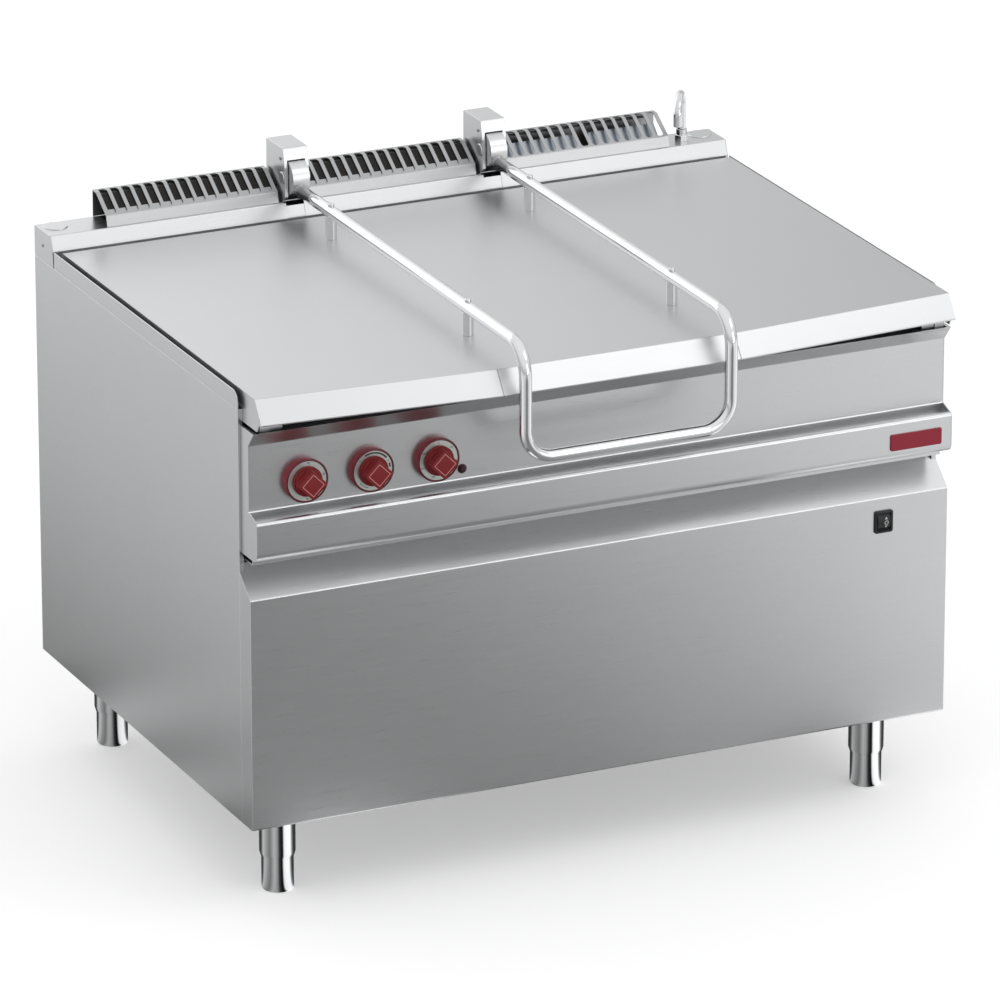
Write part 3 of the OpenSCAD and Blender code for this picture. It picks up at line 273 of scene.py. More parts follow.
def steel(name, colour, roughness, grain, depth=0.005, cloud=0.011):
    """Steel, or another ground, rolled or cast metal. grain is the size of its scratches in mm along X, Y and
    Z, depth their depth in mm, and cloud the share by which its tone varies.
    """
    material, tree = empty_material(name)
    place = add(tree, "TexCoord").outputs["Object"]
    scaled = add(tree, "Mapping", {0: place, 3: [1 / (g * MM) for g in grain]}, vector_type="POINT")
    scratch = add(tree, "TexNoise", {"Vector": scaled.outputs[0], "Scale": 1, "Detail": 4, "Roughness": 0.6})
    patch = add(tree, "TexNoise", {"Vector": place, "Scale": 7, "Detail": 2})
    shade = add(tree, "MapRange", {0: scratch.outputs[0], 1: 0.3, 2: 0.7, 3: 1 - cloud, 4: 1 + cloud})
    wide = add(tree, "MapRange", {0: patch.outputs[0], 1: 0.3, 2: 0.7, 3: 1 - cloud / 2, 4: 1 + cloud / 2})
    mottle = add(tree, "Math", {0: shade.outputs[0], 1: wide.outputs[0]}, operation="MULTIPLY")
    tint = add(tree, "VectorMath", {0: linear(colour)[:3], 3: mottle.outputs[0]}, operation="SCALE")
    gloss = add(tree, "MapRange", {0: scratch.outputs[0], 1: 0.3, 2: 0.7,
                                   3: roughness - 0.03, 4: roughness + 0.03})
    bump = add(tree, "Bump", {"Height": scratch.outputs[0], "Distance": depth * MM, "Strength": 0.5})
    metal = add(tree, "BsdfPrincipled", {"Base Color": tint.outputs[0], "Metallic": 1.0,
                                         "Roughness": gloss.outputs[0], "Normal": bump.outputs[0]})
    add(tree, "OutputMaterial", {0: metal.outputs[0]})
    return material


# Scratches are about 0.1 mm wide and 40 mm long; they are drawn 1 mm wide and 70 mm long so that the render
# shows them.
ACROSS = (70, 1, 1)
BACKWARDS = (1, 70, 1)
satin_across = steel("satin stainless steel, ground across", "#CBCCCD", 0.30, ACROSS)
satin_backwards = steel("satin stainless steel, ground backwards", "#CBCCCD", 0.30, BACKWARDS)


def softened(bm, sharp):
    """Smooths every bend that is gentler than sharp degrees."""
    for face in bm.faces:
        face.smooth = True
    for line in bm.edges:
        line.smooth = line.calc_face_angle(0) < radians(sharp)


# A sheet wider than WIDE_SHEET mm is cut into fields of FIELD mm, because long thin faces shade badly.
WIDE_SHEET = 500
FIELD = 97


def dressed(node, material, edge=0.5, sharp=30):
    """A copy of a CAD node, with its triangles joined, its bends smooth and its edges broken by edge mm."""
    source = nodes[node]
    bm = bmesh.new()
    bm.from_mesh(source.data)
    bmesh.ops.remove_doubles(bm, verts=bm.verts, dist=0.005 * MM)
    bmesh.ops.dissolve_limit(bm, angle_limit=radians(0.5), verts=bm.verts, edges=bm.edges)
    wide = [v.co.x for v in bm.verts]
    if max(wide) - min(wide) > WIDE_SHEET * MM:
        for i in range(-5, 6):
            everything = bm.verts[:] + bm.edges[:] + bm.faces[:]
            bmesh.ops.bisect_plane(bm, geom=everything, dist=0.001 * MM, plane_co=(i * FIELD * MM, 0, 0),
                                   plane_no=(1, 0, 0))
    for face in bm.faces:
        face.material_index = 0
    softened(bm, sharp)
    thing = piece_of(bm, node + "_skin", material)
    if edge:
        broken = thing.modifiers.new("broken edges", "BEVEL")
        broken.width = edge * MM
        broken.segments = 2
        broken.limit_method = "ANGLE"
        broken.angle_limit = radians(sharp)
    # Flat faces weigh more than the small bends beside them, so a flat sheet mirrors as a flat sheet.
    flat = thing.modifiers.new("flat faces", "WEIGHTED_NORMAL")
    flat.keep_sharp = True
    flat.weight = 80
    stand_for(thing, node)
    return thing


def belongs(thing, node):
    """A small extra piece moves with the node that carries it."""
    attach(thing, nodes[node]["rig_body"])


def stand_for(thing, node):
    """The piece takes a CAD node's body, and the node is hidden."""
    belongs(thing, node)
    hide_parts(node)


def coat(material, *names):
    """Gives CAD nodes a finish; their shapes are right as they are."""
    for name in names:
        for slot in nodes[name].material_slots:
            slot.material = material


# ---------------------------------------------------------------- Base frame and bottom
# Channels of 3 mm steel welded into a ladder, with a thin floor sheet on them. Mill finish: greyer than the
# panels, with a duller, blotchy skin.
mill_steel = steel("mill-finish steel section", "#9C9E9F", 0.42, (9, 9, 9), 0.03, 0.07)
coat(mill_steel, "base_frame", "bottom_panel")

# ---------------------------------------------------------------- Legs
# A round sleeve is welded under each corner, and a tube foot screws out of it. Both are polished on a lathe;
# their long upright stripes are a painted reflection of the rays painted on the floor round each leg.
polished = steel("polished stainless steel tube", "#DADBDC", 0.09, (3, 3, 30), 0.002, 0.012)
for node in ("leg_sleeves", "leg_feet"):
    dressed(node, polished, 0.8)

# ---------------------------------------------------------------- Cabinet panels
# Folded 1.5 mm sheets with a satin finish. The sides are hooked on the frame, the back is screwed on.
for node in ("side_panel_left", "side_panel_right"):
    dressed(node, satin_backwards)
for node in ("back_panel", "front_panel"):
    dressed(node, satin_across)

# ---------------------------------------------------------------- Top frame and rear housing
# The same sheet, folded into the strips beside the pan and into the long box that carries hinges and tap.
# The hinge notches in the housing end 0.3 mm above a bend, so its edges are broken by less than that.
for node, edge in (("top_frame", 0.5), ("rear_housing", 0.15), ("housing_end_cap_left", 0.5),
                   ("housing_end_cap_right", 0.5), ("blanking_caps", 0.3)):
    dressed(node, satin_across, edge)


def new_verts(made):
    return [g for g in made if isinstance(g, bmesh.types.BMVert)]


def sheet_strip(name, node, material, fold, left, width, thick):
    """A strip across the unit: its (back, up) fold in mm, drawn width mm to the right from left."""
    bm = bmesh.new()
    verts = [bm.verts.new(at(left, *point)) for point in fold]
    line = [bm.edges.new(pair) for pair in zip(verts, verts[1:])]
    made = bmesh.ops.extrude_edge_only(bm, edges=line)["geom"]
    bmesh.ops.translate(bm, verts=new_verts(made), vec=(width * MM, 0, 0))
    bmesh.ops.solidify(bm, geom=bm.faces[:], thickness=thick * MM)
    bmesh.ops.recalc_face_normals(bm, faces=bm.faces)
    belongs(piece_of(bm, name, material), node)


# A strip closes the lower part of each hinge notch, just inside the housing's slope.
NOTCH_X = 175
NOTCH_HALF = 22
NOTCH_FOLD = [(785.5, 849.2), (792.0, 867.3)]
STRIP_THICK = 0.8
for side, word in ((-1, "left"), (1, "right")):
    sheet_strip("notch_strip_" + word, "rear_housing", satin_across, NOTCH_FOLD, side * NOTCH_X - NOTCH_HALF,
                2 * NOTCH_HALF, STRIP_THICK)


def screw(name, place, out, width, high, material):
    """A round head with a round socket, width mm across and high mm deep, that faces out."""
    bm = bmesh.new()
    bmesh.ops.create_cone(bm, cap_ends=True, segments=24, radius1=width / 2 * MM, radius2=width / 2 * MM,
                          depth=high * MM)
    top = max(bm.faces, key=lambda f: f.calc_center_median().z)
    bmesh.ops.bevel(bm, geom=top.edges[:], offset=high * 0.35 * MM, segments=3, profile=0.5,
                    affect="EDGES", material=-1)
    top = max(bm.faces, key=lambda f: (f.calc_center_median().z, f.calc_area()))
    bmesh.ops.inset_region(bm, faces=[top], thickness=width * 0.17 * MM)
    bmesh.ops.translate(bm, verts=top.verts, vec=(0, 0, -high * 0.5 * MM))
    for face in bm.faces:
        face.smooth = len(face.verts) == 4
    turn = Vector(out).to_track_quat("Z", "Y").to_matrix().to_4x4()
    bmesh.ops.transform(bm, matrix=Matrix.Translation(at(*place)) @ turn, verts=bm.verts)
    return piece_of(bm, name, material)


# One screw holds each end cap of the housing, and one the front flange of each side panel.
CAP_SCREW = (600.4, 824, 848)
PANEL_SCREW = (596, 40.2, 575)
HEAD_HIGH = 1.6
for side, word in ((-1, "left"), (1, "right")):
    x, y, z = CAP_SCREW
    head = screw("housing_screw_" + word, (side * x, y, z), (side, 0, 0), 5, HEAD_HIGH, mill_steel)
    belongs(head, "rear_housing")
    x, y, z = PANEL_SCREW
    head = screw("panel_screw_" + word, (side * x, y, z), (0, -1, 0), 4, HEAD_HIGH, mill_steel)
    belongs(head, "side_panel_" + word)

# ---------------------------------------------------------------- Vent grilles
# A bent sheet with round-ended slots punched over its bend; zinc plates under it turn the vapour aside. The
# sheet behind the slots of the left and the middle grille is painted nearly black, as painted shade inside
# the grille.
GRILLES = ("vent_grille_left", "vent_grille_middle", "vent_grille_right")
dulled = steel("satin stainless steel, dulled by vapour", "#B1B2B3", 0.34, ACROSS)
for node in GRILLES:
    dressed(node, dulled, 0.3)
zinc = steel("hot-dip zinc sheet", "#A3ABB2", 0.35, (14, 14, 14), 0.02, 0.10)
coat(zinc, "smoke_deflectors")
# Painted shade: this near-black sheet stands where the inside of the grille lies in shade.
baffle_painted_shade = steel("steel sheet painted near black as shade", "#302F2E", 0.5, (20, 20, 6), 0.02, 0.12)
# The right grille has no foot and only the top of the baffle, because its zinc plates show.
BAFFLE_FOLD = [(800.5, 874.5), (806, 889.5), (815.4, 895.5), (843.5, 913.5), (855, 913.5)]
WHOLE = [("grille_foot", BAFFLE_FOLD[:3], dulled), ("grille_baffle", BAFFLE_FOLD[2:], baffle_painted_shade)]
TOP_ONLY = [("grille_baffle", BAFFLE_FOLD[3:], baffle_painted_shade)]
for node, sheets, short in zip(GRILLES, (WHOLE, WHOLE, TOP_ONLY), (6, 6, 24)):
    low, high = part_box(node)
    left, right = low.x / MM + 2, high.x / MM - short
    for name, fold, finish in sheets:
        sheet_strip(node.replace("vent_grille", name), node, finish, fold, left, right - left, STRIP_THICK)

# ---------------------------------------------------------------- Hinges
# A folded hood covers each turned drum. The handle's arms end in the drums, which turn on short pins.
for node in ("hinge_box_left", "hinge_box_right"):
    dressed(node, satin_across)
turned = steel("turned stainless steel", "#D6D7D8", 0.32, (2, 60, 60), 0.006, 0.03)
for node in ("hinge_drums", "hinge_pins"):
    dressed(node, turned, 0.8)
HOOD_SCREW = (800, 946)
for word in ("left", "right"):
    low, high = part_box("hinge_box_" + word)
    place = (low.x / MM - 0.5, *HOOD_SCREW)
    belongs(screw("hood_screw_" + word, place, (-1, 0, 0), 5.5, 2.4, mill_steel), "hinge_box_" + word)

# ---------------------------------------------------------------- Lid
# One big satin sheet with folded skirts and a front that slopes and bows out in three sections, welded at two
# seams. Two hat ribs stiffen it inside.
lid_steel = steel("satin stainless steel lid", "#CDCECF", 0.36, ACROSS)
dressed("lid_shell", lid_steel)
coat(satin_across, "lid_ribs")
# The seams are welds; their dark grey is partly painted shade, standing in for the shade in the seam's
# groove.
weld_seam_and_groove_shade = steel("ground weld seam, darkened as groove shade", "#7D7F81", 0.5, (3, 3, 3), 0.05, 0.1)
SEAM_X = 202
SEAM_HALF = 0.4
SEAM_LINE = [(-36.2, 853), (-63.3, 815.9)]
BEAD = 0.3
for side, word in ((-1, "left"), (1, "right")):
    sheet_strip("lid_seam_" + word, "lid_shell", weld_seam_and_groove_shade, SEAM_LINE, side * SEAM_X - SEAM_HALF,
                2 * SEAM_HALF, BEAD)
dressed("handle_posts", polished, 0.4)

# ---------------------------------------------------------------- Handle
# One length of 20 mm tube, bent on a bender and brushed to a bright finish.
TUBE_R = 10
ARM_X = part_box("handle_frame")[1].x / MM - TUBE_R


def new_ring(made):
    """The edges at the far end of what an operator has drawn out."""
    verts = set(new_verts(made))
    return [g for g in made if isinstance(g, bmesh.types.BMEdge) and verts.issuperset(g.verts)]


def pushed(bm, ring, step, fields=12):
    """Draws a ring of edges out along a vector, in metres, in a few equal fields."""
    for _ in range(fields):
        made = bmesh.ops.extrude_edge_only(bm, edges=ring)["geom"]
        bmesh.ops.translate(bm, verts=new_verts(made), vec=Vector(step) / fields)
        ring = new_ring(made)
    return ring


def bent(bm, ring, centre, axis, angle, steps=16):
    """Turns a ring of edges about an axis, as a tube bender does."""
    verts = list({v for e in ring for v in e.verts})
    made = bmesh.ops.spin(bm, geom=ring + verts, cent=centre, axis=axis, angle=angle, steps=steps)
    return new_ring(made["geom_last"])


def capped(bm):
    """Closes the open ends, turns the faces out and smooths all but the end faces."""
    bmesh.ops.remove_doubles(bm, verts=bm.verts, dist=0.005 * MM)
    bmesh.ops.holes_fill(bm, edges=bm.edges, sides=0)
    bmesh.ops.recalc_face_normals(bm, faces=bm.faces)
    for face in bm.faces:
        face.smooth = len(face.verts) == 4


bright_tube = steel("bright stainless steel tube", "#E2E3E4", 0.13, (4, 40, 4), 0.002, 0.012)
# The arms run at ARM_Z from the drums to a bend of radius ARM_R, and drop at LIMB_Y to the bar at BAR_Z,
# where the bends have the radius BAR_R.
BEND_Y = -30.6
LIMB_Y = -80.6
ARM_Z = 898
ARM_END_Y = 764.5
BAR_Z = 717.3
ARM_R = BEND_Y - LIMB_Y
BAR_R = 47
bm = bmesh.new()
bmesh.ops.create_circle(bm, segments=40, radius=TUBE_R * MM)
bmesh.ops.rotate(bm, verts=bm.verts, cent=(0, 0, 0), matrix=Matrix.Rotation(pi / 2, 3, "X"))
bmesh.ops.translate(bm, verts=bm.verts, vec=at(-ARM_X, ARM_END_Y, ARM_Z))
ring = list(bm.edges)
ring = pushed(bm, ring, (0, (BEND_Y - ARM_END_Y) * MM, 0))
ring = bent(bm, ring, at(-ARM_X, BEND_Y, ARM_Z - ARM_R), (1, 0, 0), pi / 2)
drop = (ARM_Z - ARM_R - BAR_Z - BAR_R) * MM
ring = pushed(bm, ring, (0, 0, -drop))
ring = bent(bm, ring, at(BAR_R - ARM_X, LIMB_Y, BAR_Z + BAR_R), (0, -1, 0), pi / 2)
ring = pushed(bm, ring, (2 * (ARM_X - BAR_R) * MM, 0, 0))
ring = bent(bm, ring, at(ARM_X - BAR_R, LIMB_Y, BAR_Z + BAR_R), (0, -1, 0), pi / 2)
ring = pushed(bm, ring, (0, 0, drop))
ring = bent(bm, ring, at(ARM_X, BEND_Y, ARM_Z - ARM_R), (-1, 0, 0), pi / 2)
pushed(bm, ring, (0, (ARM_END_Y - BEND_Y) * MM, 0))
capped(bm)
stand_for(piece_of(bm, "handle_tube", bright_tube), "handle_frame")

POST_Y = (129, 648.5)
for i, (side, y) in enumerate([(side, y) for side in (-1, 1) for y in POST_Y]):
    bolt = screw(f"handle_bolt_{i + 1}", (side * ARM_X, y, ARM_Z + TUBE_R + 1), (0, 0, 1), 10, 7, polished)
    belongs(bolt, "handle_frame")

# ---------------------------------------------------------------- Control fascia
# One sheet folded into flare, face, ledge and round-nosed rail, with end caps and a closed box behind.
for node in ("fascia_panel", "fascia_end_cap_left", "fascia_end_cap_right", "under_rail_strip"):
    dressed(node, satin_across, 0.3)
coat(mill_steel, "control_box")


def plastic(name, colour, roughness, grit, depth, fleck=0.06, **more):
    """Moulded plastic, or ink, enamel or glaze, with a fine grained skin. grit is the grain's width in mm,
    depth its depth, and fleck the share by which its tone varies.
    """
    material, tree = empty_material(name)
    place = add(tree, "TexCoord").outputs["Object"]
    grain = add(tree, "TexNoise", {"Vector": place, "Scale": 1 / (grit * MM), "Detail": 3})
    shade = add(tree, "MapRange", {0: grain.outputs[0], 1: 0.3, 2: 0.7, 3: 1 - fleck, 4: 1 + fleck})
    tint = add(tree, "VectorMath", {0: linear(colour)[:3], 3: shade.outputs[0]}, operation="SCALE")
    gloss = add(tree, "MapRange", {0: grain.outputs[0], 3: roughness - 0.05, 4: roughness + 0.05})
    bump = add(tree, "Bump", {"Height": grain.outputs[0], "Distance": depth * MM, "Strength": 0.5})
    skin = add(tree, "BsdfPrincipled", {"Base Color": tint.outputs[0], "Roughness": gloss.outputs[0],
                                        "Normal": bump.outputs[0], **more})
    add(tree, "OutputMaterial", {0: skin.outputs[0]})
    return material


# The fold between face and ledge stands a little proud, and its upper side catches the light.
FOLD_LINE = [(11.2, 664.5), (11.9, 666.4)]
FOLD_HALF = 597
sheet_strip("face_fold", "fascia_panel", satin_across, FOLD_LINE, -FOLD_HALF, 2 * FOLD_HALF, BEAD)

# A bare dark red pressed plate with rounded corners is glued to the rail.
PLATE_SIZE = (90.5, 1.6, 27)
PLATE_AT = (531.8, -19.3, 622.5)
PLATE_CORNER = 3
badge_red = plastic("dark red lacquered aluminium", "#8E1F33", 0.35, 0.8, 0.01, 0.03,
                    **{"Specular IOR Level": 0.3})


def front_of(bm):
    """The face that stands farthest forward."""
    return min(bm.faces, key=lambda f: f.calc_center_median().y)


def rounded_plate(bm, size, middle, corner):
    """A flat plate with rounded corners; its size and corners are in mm, its middle in metres."""
    bmesh.ops.create_cube(bm, size=1)
    bmesh.ops.scale(bm, verts=bm.verts, vec=[s * MM for s in size])
    bmesh.ops.translate(bm, verts=bm.verts, vec=middle)
    uprights = [e for e in bm.edges if abs(e.verts[0].co.y - e.verts[1].co.y) > MM]
    bmesh.ops.bevel(bm, geom=uprights, offset=corner * MM, segments=5, profile=0.5, affect="EDGES",
                    material=-1)


bm = bmesh.new()
rounded_plate(bm, PLATE_SIZE, (0, 0, 0), PLATE_CORNER)
front = front_of(bm)
bmesh.ops.inset_region(bm, faces=[front], thickness=1.2 * MM)
bmesh.ops.translate(bm, verts=front.verts, vec=(0, -0.5 * MM, 0))
bmesh.ops.translate(bm, verts=bm.verts, vec=at(*PLATE_AT))
belongs(piece_of(bm, "blank_plate", badge_red), "fascia_panel")

# ---------------------------------------------------------------- Knobs
# Each knob turns inside a fixed red bezel with a silver dial. The red parts are moulded phenolic resin: a
# square grip on a stepped round neck, with a thin pale line let into its face. The dials are printed.
knob_red = plastic("dark red phenolic resin", "#8A2131", 0.42, 0.7, 0.02,
                   **{"Specular IOR Level": 0.3})
# Painted shade: the bezel's front rim is a darker red than the bezel, standing in for the shade on its front.
rim_red_painted_shade = plastic("dark red phenolic resin, rim painted darker as shade", "#581722", 0.3, 0.7, 0.01)
grip_red = plastic("dark red-brown phenolic resin", "#7C2225", 0.5, 0.7, 0.02,
                   **{"Specular IOR Level": 0.25})
KNOB_Z = 706.5
KNOBS = {}
for node in ("water_knob", "power_knob", "temperature_knob"):
    low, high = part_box(node)
    KNOBS[node] = (low.x + high.x) / 2 / MM
DIAL_Y = -0.5


def turned_on_face(bm, outline, x, steps=64):
    """Spins a (radius, depth) outline in mm about a knob's axis."""
    verts = [bm.verts.new(at(x + r, y, KNOB_Z)) for r, y in outline]
    line = [bm.edges.new(pair) for pair in zip(verts, verts[1:])]
    bmesh.ops.spin(bm, geom=verts + line, cent=at(x, 0, KNOB_Z), axis=(0, 1, 0), angle=2 * pi, steps=steps,
                   use_merge=True)


def smoothed(bm, sharp=35):
    """Merges doubles, points the faces out, and smooths every bend gentler than sharp degrees."""
    bmesh.ops.remove_doubles(bm, verts=bm.verts, dist=0.005 * MM)
    bmesh.ops.recalc_face_normals(bm, faces=bm.faces)
    softened(bm, sharp)


# Outlines of the bezel, its polished rim, which is painted a darker red as painted shade, and the grip's
# neck, as (radius, depth) in mm.
BEZEL = [(32.3, 0.9), (32.3, -0.7), (32.6, -1.0), (34.2, -1.0), (34.7, -0.8), (35.0, -0.2), (35.0, 5),
         (34.6, 12), (7.2, 12), (7.2, 0.9), (32.3, 0.9)]
RIM = [(32.2, -0.6), (32.35, -1.15), (33.0, -1.4), (34.0, -1.4), (34.8, -0.9), (35.1, -0.1)]
NECK = [(0.01, 43.9), (6, 43.9), (6, -1.4), (23.4, -1.4), (24, -1.9), (24, -4.6), (23.4, -5.3), (21.6, -5.3),
        (21.3, -5.7), (21.3, -8.2), (20.6, -9.0), (19, -9.2), (0.01, -9.2)]
bm = bmesh.new()
for x in KNOBS.values():
    turned_on_face(bm, BEZEL, x)
smoothed(bm)
stand_for(piece_of(bm, "knob_bezels_skin", knob_red), "knob_bezels")
bm = bmesh.new()
for x in KNOBS.values():
    turned_on_face(bm, RIM, x)
bmesh.ops.solidify(bm, geom=bm.faces[:], thickness=0.2 * MM)
smoothed(bm, 60)
belongs(piece_of(bm, "bezel_rims", rim_red_painted_shade), "knob_bezels")

GRIP_HALF = 17
GRIP_DEEP = 17.2
GRIP_Y = -16.4
GRIP_CORNER = 4
GRIP_EDGE = 1.0
LINE_HALF = 12.8
LINE_Y = -25.1
LINE_WIDE = 1.0
line_pink = plastic("pale pink enamel line", "#D9A3A0", 0.4, 0.5, 0.005)


def cut_open(bm, wide):
    """Leaves only a rim, wide mm wide, of a flat face about the origin."""
    bmesh.ops.inset_region(bm, faces=bm.faces[:], thickness=wide * MM, use_boundary=True)
    inner = min(bm.faces, key=lambda f: f.calc_center_median().length)
    bmesh.ops.delete(bm, geom=[inner], context="FACES")


for node, x in KNOBS.items():
    bm = bmesh.new()
    turned_on_face(bm, NECK, x)
    cube = bmesh.ops.create_cube(bm, size=1)["verts"]
    bmesh.ops.scale(bm, verts=cube, vec=(2 * GRIP_HALF * MM, GRIP_DEEP * MM, 2 * GRIP_HALF * MM))
    bmesh.ops.rotate(bm, verts=cube, cent=(0, 0, 0), matrix=Matrix.Rotation(pi / 4, 3, "Y"))
    bmesh.ops.translate(bm, verts=cube, vec=at(x, GRIP_Y, KNOB_Z))
    sides = [e for e in bm.edges if e.verts[0] in cube and abs(e.verts[0].co.y - e.verts[1].co.y) > 10 * MM]
    bmesh.ops.bevel(bm, geom=sides, offset=GRIP_CORNER * MM, segments=6, profile=0.5, affect="EDGES",
                    material=-1)
    bmesh.ops.bevel(bm, geom=front_of(bm).edges[:], offset=GRIP_EDGE * MM, segments=3, profile=0.5,
                    affect="EDGES", material=-1)
    smoothed(bm)
    stand_for(piece_of(bm, node + "_skin", grip_red), node)
    bm = bmesh.new()
    bmesh.ops.create_circle(bm, segments=4, radius=LINE_HALF * 2 ** 0.5 * MM, cap_ends=True)
    cut_open(bm, LINE_WIDE)
    bmesh.ops.solidify(bm, geom=bm.faces[:], thickness=0.15 * MM)
    bmesh.ops.rotate(bm, verts=bm.verts, cent=(0, 0, 0), matrix=Matrix.Rotation(pi / 2, 3, "X"))
    bmesh.ops.translate(bm, verts=bm.verts, vec=at(x, LINE_Y, KNOB_Z))
    bmesh.ops.recalc_face_normals(bm, faces=bm.faces)
    belongs(piece_of(bm, node + "_line", line_pink), node)

dial_silver = steel("satin anodised aluminium", "#C9CCC6", 0.38, (0.8, 0.8, 0.8), 0.005, 0.02)
coat(dial_silver, "dial_plates")
ink_black = plastic("black screen-printing ink", "#23252A", 0.6, 0.5, 0.004)
ink_blue = plastic("blue screen-printing ink", "#3566A8", 0.6, 0.5, 0.004)
ink_red = plastic("red screen-printing ink", "#B4313C", 0.6, 0.5, 0.004)


def printed_arc(name, x, inner, outer, start, end, ink):
    """A printed arc between two radii in mm, from start to end in degrees clockwise from the top."""
    bm = bmesh.new()
    turn = Matrix.Rotation(radians(start), 3, "Y")
    centre = at(x, DIAL_Y - 0.04, KNOB_Z)
    verts = [bm.verts.new(centre + turn @ Vector((0, 0, r * MM))) for r in (inner, outer)]
    bm.edges.new(verts)
    bmesh.ops.spin(bm, geom=verts + bm.edges[:], cent=at(x, 0, KNOB_Z), axis=(0, 1, 0),
                   angle=radians(end - start), steps=max(2, round((end - start) / 5)))
    bmesh.ops.solidify(bm, geom=bm.faces[:], thickness=0.05 * MM)
    bmesh.ops.recalc_face_normals(bm, faces=bm.faces)
    belongs(piece_of(bm, name, ink), "dial_plates")


# The water dial has two blue marks and a red one, and the power dial arcs as (inner, outer, start, end).
x = KNOBS["water_knob"]
WATER_MARKS = [(4, ink_blue), (74, ink_blue), (178, ink_red)]
for i, (angle, ink) in enumerate(WATER_MARKS):
    printed_arc(f"water_mark_{i + 1}", x, 28.4, 29.8, angle - 4.5, angle + 4.5, ink)
    printed_arc(f"water_mark_{i + 1}_tail", x, 26.4, 29.2, angle + 2, angle + 4.5, ink)
x = KNOBS["power_knob"]
POWER_ARCS = [(27.2, 29.8, -28, 52), (27.2, 29.8, 72, 86), (27.6, 28.5, 196, 232), (26.6, 29.6, -52, -50),
              (26.8, 29.4, 61, 63)]
for i, (inner, outer, start, end) in enumerate(POWER_ARCS):
    printed_arc(f"power_mark_{i + 1}", x, inner, outer, start, end, ink_black)


CAP_HEIGHT = 0.7


def printed_number(text, x, radius, angle, high=3.2):
    """A plain number on the dial, upright, its middle at a radius and an angle clockwise from the top."""
    shape = bpy.data.curves.new("dial number " + text, "FONT")
    shape.body = text
    shape.size = high * MM / CAP_HEIGHT
    shape.align_x = "CENTER"
    shape.align_y = "CENTER"
    writing = bpy.data.objects.new("dial number " + text, shape)
    mesh = bpy.data.meshes.new_from_object(writing)
    bm = bmesh.new()
    bm.from_mesh(mesh)
    bpy.data.objects.remove(writing)
    bpy.data.meshes.remove(mesh)
    bmesh.ops.rotate(bm, verts=bm.verts, cent=(0, 0, 0), matrix=Matrix.Rotation(pi / 2, 3, "X"))
    place = (x + radius * sin(radians(angle)), DIAL_Y - 0.06, KNOB_Z + radius * cos(radians(angle)))
    bmesh.ops.translate(bm, verts=bm.verts, vec=at(*place))
    belongs(piece_of(bm, "temperature_mark_" + text, ink_black), "dial_plates")


# The temperature dial has a number every 50 degrees, in degrees Celsius and of turn alike.
NUMBER_R = 28.1
x = KNOBS["temperature_knob"]
for degrees in range(0, 301, 50):
    printed_number(str(degrees), x, NUMBER_R, degrees)

# What stands behind the face and at the back: brass valve and inlet, nylon regulator and gland, and steatite
# thermostat and terminal box.
brass = steel("machined brass", "#C9A85C", 0.3, (2, 2, 2), 0.01, 0.04)
black = plastic("black nylon", "#1C1C1F", 0.45, 0.6, 0.02, **{"Specular IOR Level": 0.35})
ceramic = plastic("glazed steatite", "#DEDACF", 0.3, 1.5, 0.02)
coat(brass, "water_valve", "water_inlet")
coat(black, "power_regulator", "cable_gland")
coat(ceramic, "thermostat", "terminal_box")

# ---------------------------------------------------------------- Pilot lamp and tilt switch
# A dark red lens in a round collar, and a black nylon rocker in a black frame with rounded corners. The mark
# on the rocker, an arrow up, a ring and an arrow down, is printed.
lens = plastic("dark red acrylic lens", "#35191C", 0.2, 0.9, 0.01)
dressed("pilot_lamp", lens, 0.3)
dressed("tilt_switch_rocker", black, 0.5)
coat(black, "tilt_switch_body")
low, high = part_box("tilt_switch_frame")
SWITCH_X = (low.x + high.x) / 2 / MM
SWITCH_Z = (low.z + high.z) / 2 / MM
FRAME_SIZE = (32.5, 2.5, 37)
FRAME_CORNER = 4
# The frame's front rises in a slope to a flat rim, and falls inside it to the rocker's well.
bm = bmesh.new()
rounded_plate(bm, FRAME_SIZE, at(SWITCH_X, -FRAME_SIZE[1] / 2, SWITCH_Z), FRAME_CORNER)
front = front_of(bm)
bmesh.ops.inset_region(bm, faces=[front], thickness=1.2 * MM)
bmesh.ops.translate(bm, verts=front.verts, vec=(0, -0.7 * MM, 0))
bmesh.ops.inset_region(bm, faces=[front], thickness=2.6 * MM)
bmesh.ops.inset_region(bm, faces=[front], thickness=0.5 * MM)
bmesh.ops.translate(bm, verts=front.verts, vec=(0, 2.6 * MM, 0))
bmesh.ops.delete(bm, geom=[front], context="FACES")
smoothed(bm, 50)
stand_for(piece_of(bm, "tilt_switch_frame_skin", black), "tilt_switch_frame")

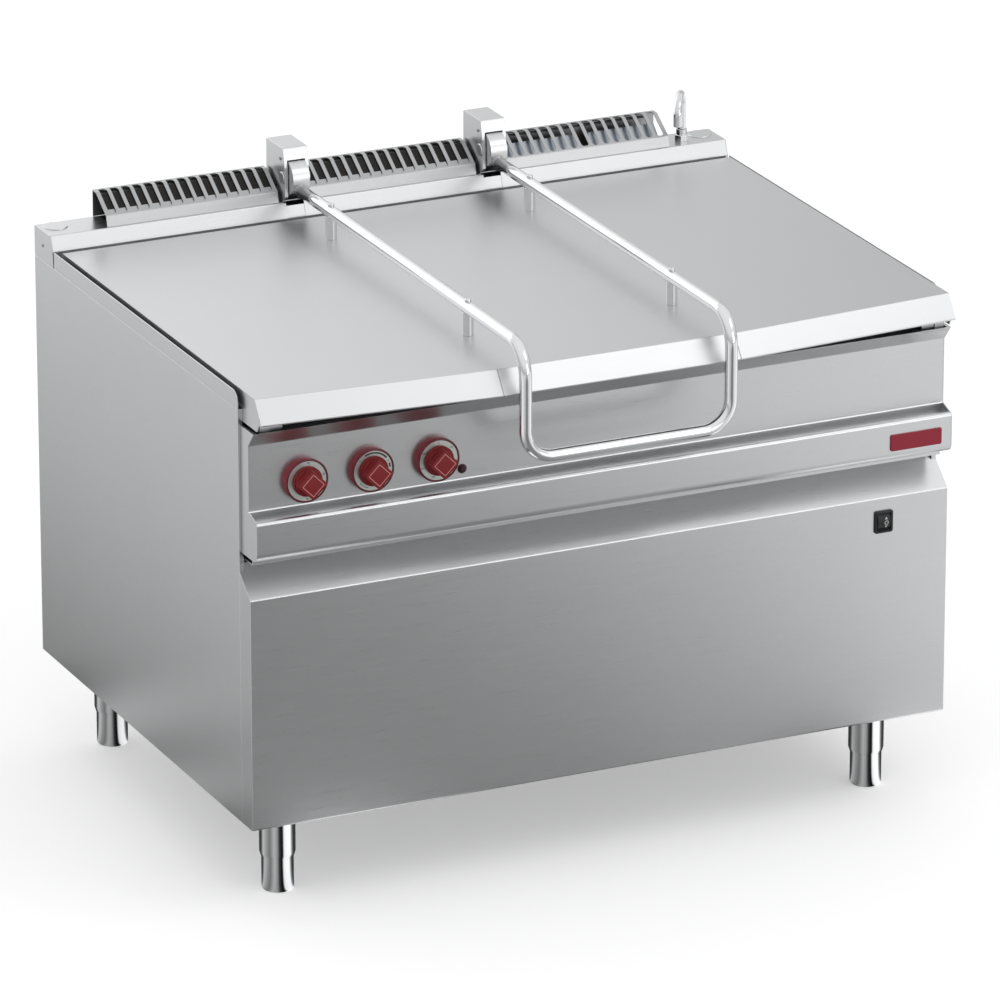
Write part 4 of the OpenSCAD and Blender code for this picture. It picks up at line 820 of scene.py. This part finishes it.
# The rocker's face is part of a drum of radius ROCKER_R about its axis; each mark as (name, corners, radius,
# turn, height on the face).
ROCKER_AXIS_Y = 16
ROCKER_R = 20.5
MARK_X = 3.6
ink_grey = plastic("light grey pad-printing ink", "#B9BABB", 0.6, 0.5, 0.004)
MARKS = [("up", 3, 3.0, 90, 5.6), ("ring", 24, 3.6, 0, -1.2), ("down", 3, 3.0, -90, -7.8)]
for name, corners, radius, turn, up in MARKS:
    bm = bmesh.new()
    bmesh.ops.create_circle(bm, segments=corners, radius=radius * MM, cap_ends=True)
    bmesh.ops.rotate(bm, verts=bm.verts, cent=(0, 0, 0), matrix=Matrix.Rotation(radians(turn - 90), 3, "Z"))
    if name == "ring":
        cut_open(bm, 1.3)
    bmesh.ops.subdivide_edges(bm, edges=bm.edges[:], cuts=1, use_grid_fill=True)
    bmesh.ops.rotate(bm, verts=bm.verts, cent=(0, 0, 0), matrix=Matrix.Rotation(pi / 2, 3, "X"))
    place = at(SWITCH_X + MARK_X, ROCKER_AXIS_Y - ROCKER_R - 0.25, SWITCH_Z)
    bmesh.ops.translate(bm, verts=bm.verts, vec=place)
    bmesh.ops.rotate(bm, verts=bm.verts, cent=at(SWITCH_X, ROCKER_AXIS_Y, SWITCH_Z),
                     matrix=Matrix.Rotation(-up / ROCKER_R, 3, "X"))
    bmesh.ops.solidify(bm, geom=bm.faces[:], thickness=0.1 * MM)
    bmesh.ops.recalc_face_normals(bm, faces=bm.faces)
    belongs(piece_of(bm, "rocker_mark_" + name, ink_grey), "tilt_switch_rocker")

# ---------------------------------------------------------------- Tap and water line
# A polished swivel spout in a turned base, fed by a copper pipe from the inlet at the back.
for node in ("tap_base", "tap_spout"):
    dressed(node, polished, 0.4)
copper = steel("drawn copper pipe", "#C08457", 0.28, (4, 4, 50), 0.01, 0.06)
coat(copper, "water_pipe")

# ---------------------------------------------------------------- Pan
# A welded vessel, ground smooth inside, on a thick plate with hairpin heaters and a closed casing.
pan_steel = steel("ground stainless steel pan", "#BFC1C3", 0.33, ACROSS)
dressed("pan_vessel", pan_steel, 0.6)
heater = steel("nickel alloy heater sheath", "#6C6D70", 0.5, (2, 20, 2), 0.02, 0.1)
coat(heater, "heating_elements")
coat(mill_steel, "pan_base_plate", "pan_casing", "pan_trunnions", "pivot_brackets")

# ---------------------------------------------------------------- Screw jack
# A painted motor and gearbox on the floor sheet drive a ground rod with a roller under the pan.
paint = plastic("grey machine enamel", "#5C6165", 0.4, 1.6, 0.05)
coat(paint, "jack_motor", "jack_gearbox")
coat(turned, "jack_tube", "jack_rod", "jack_roller")
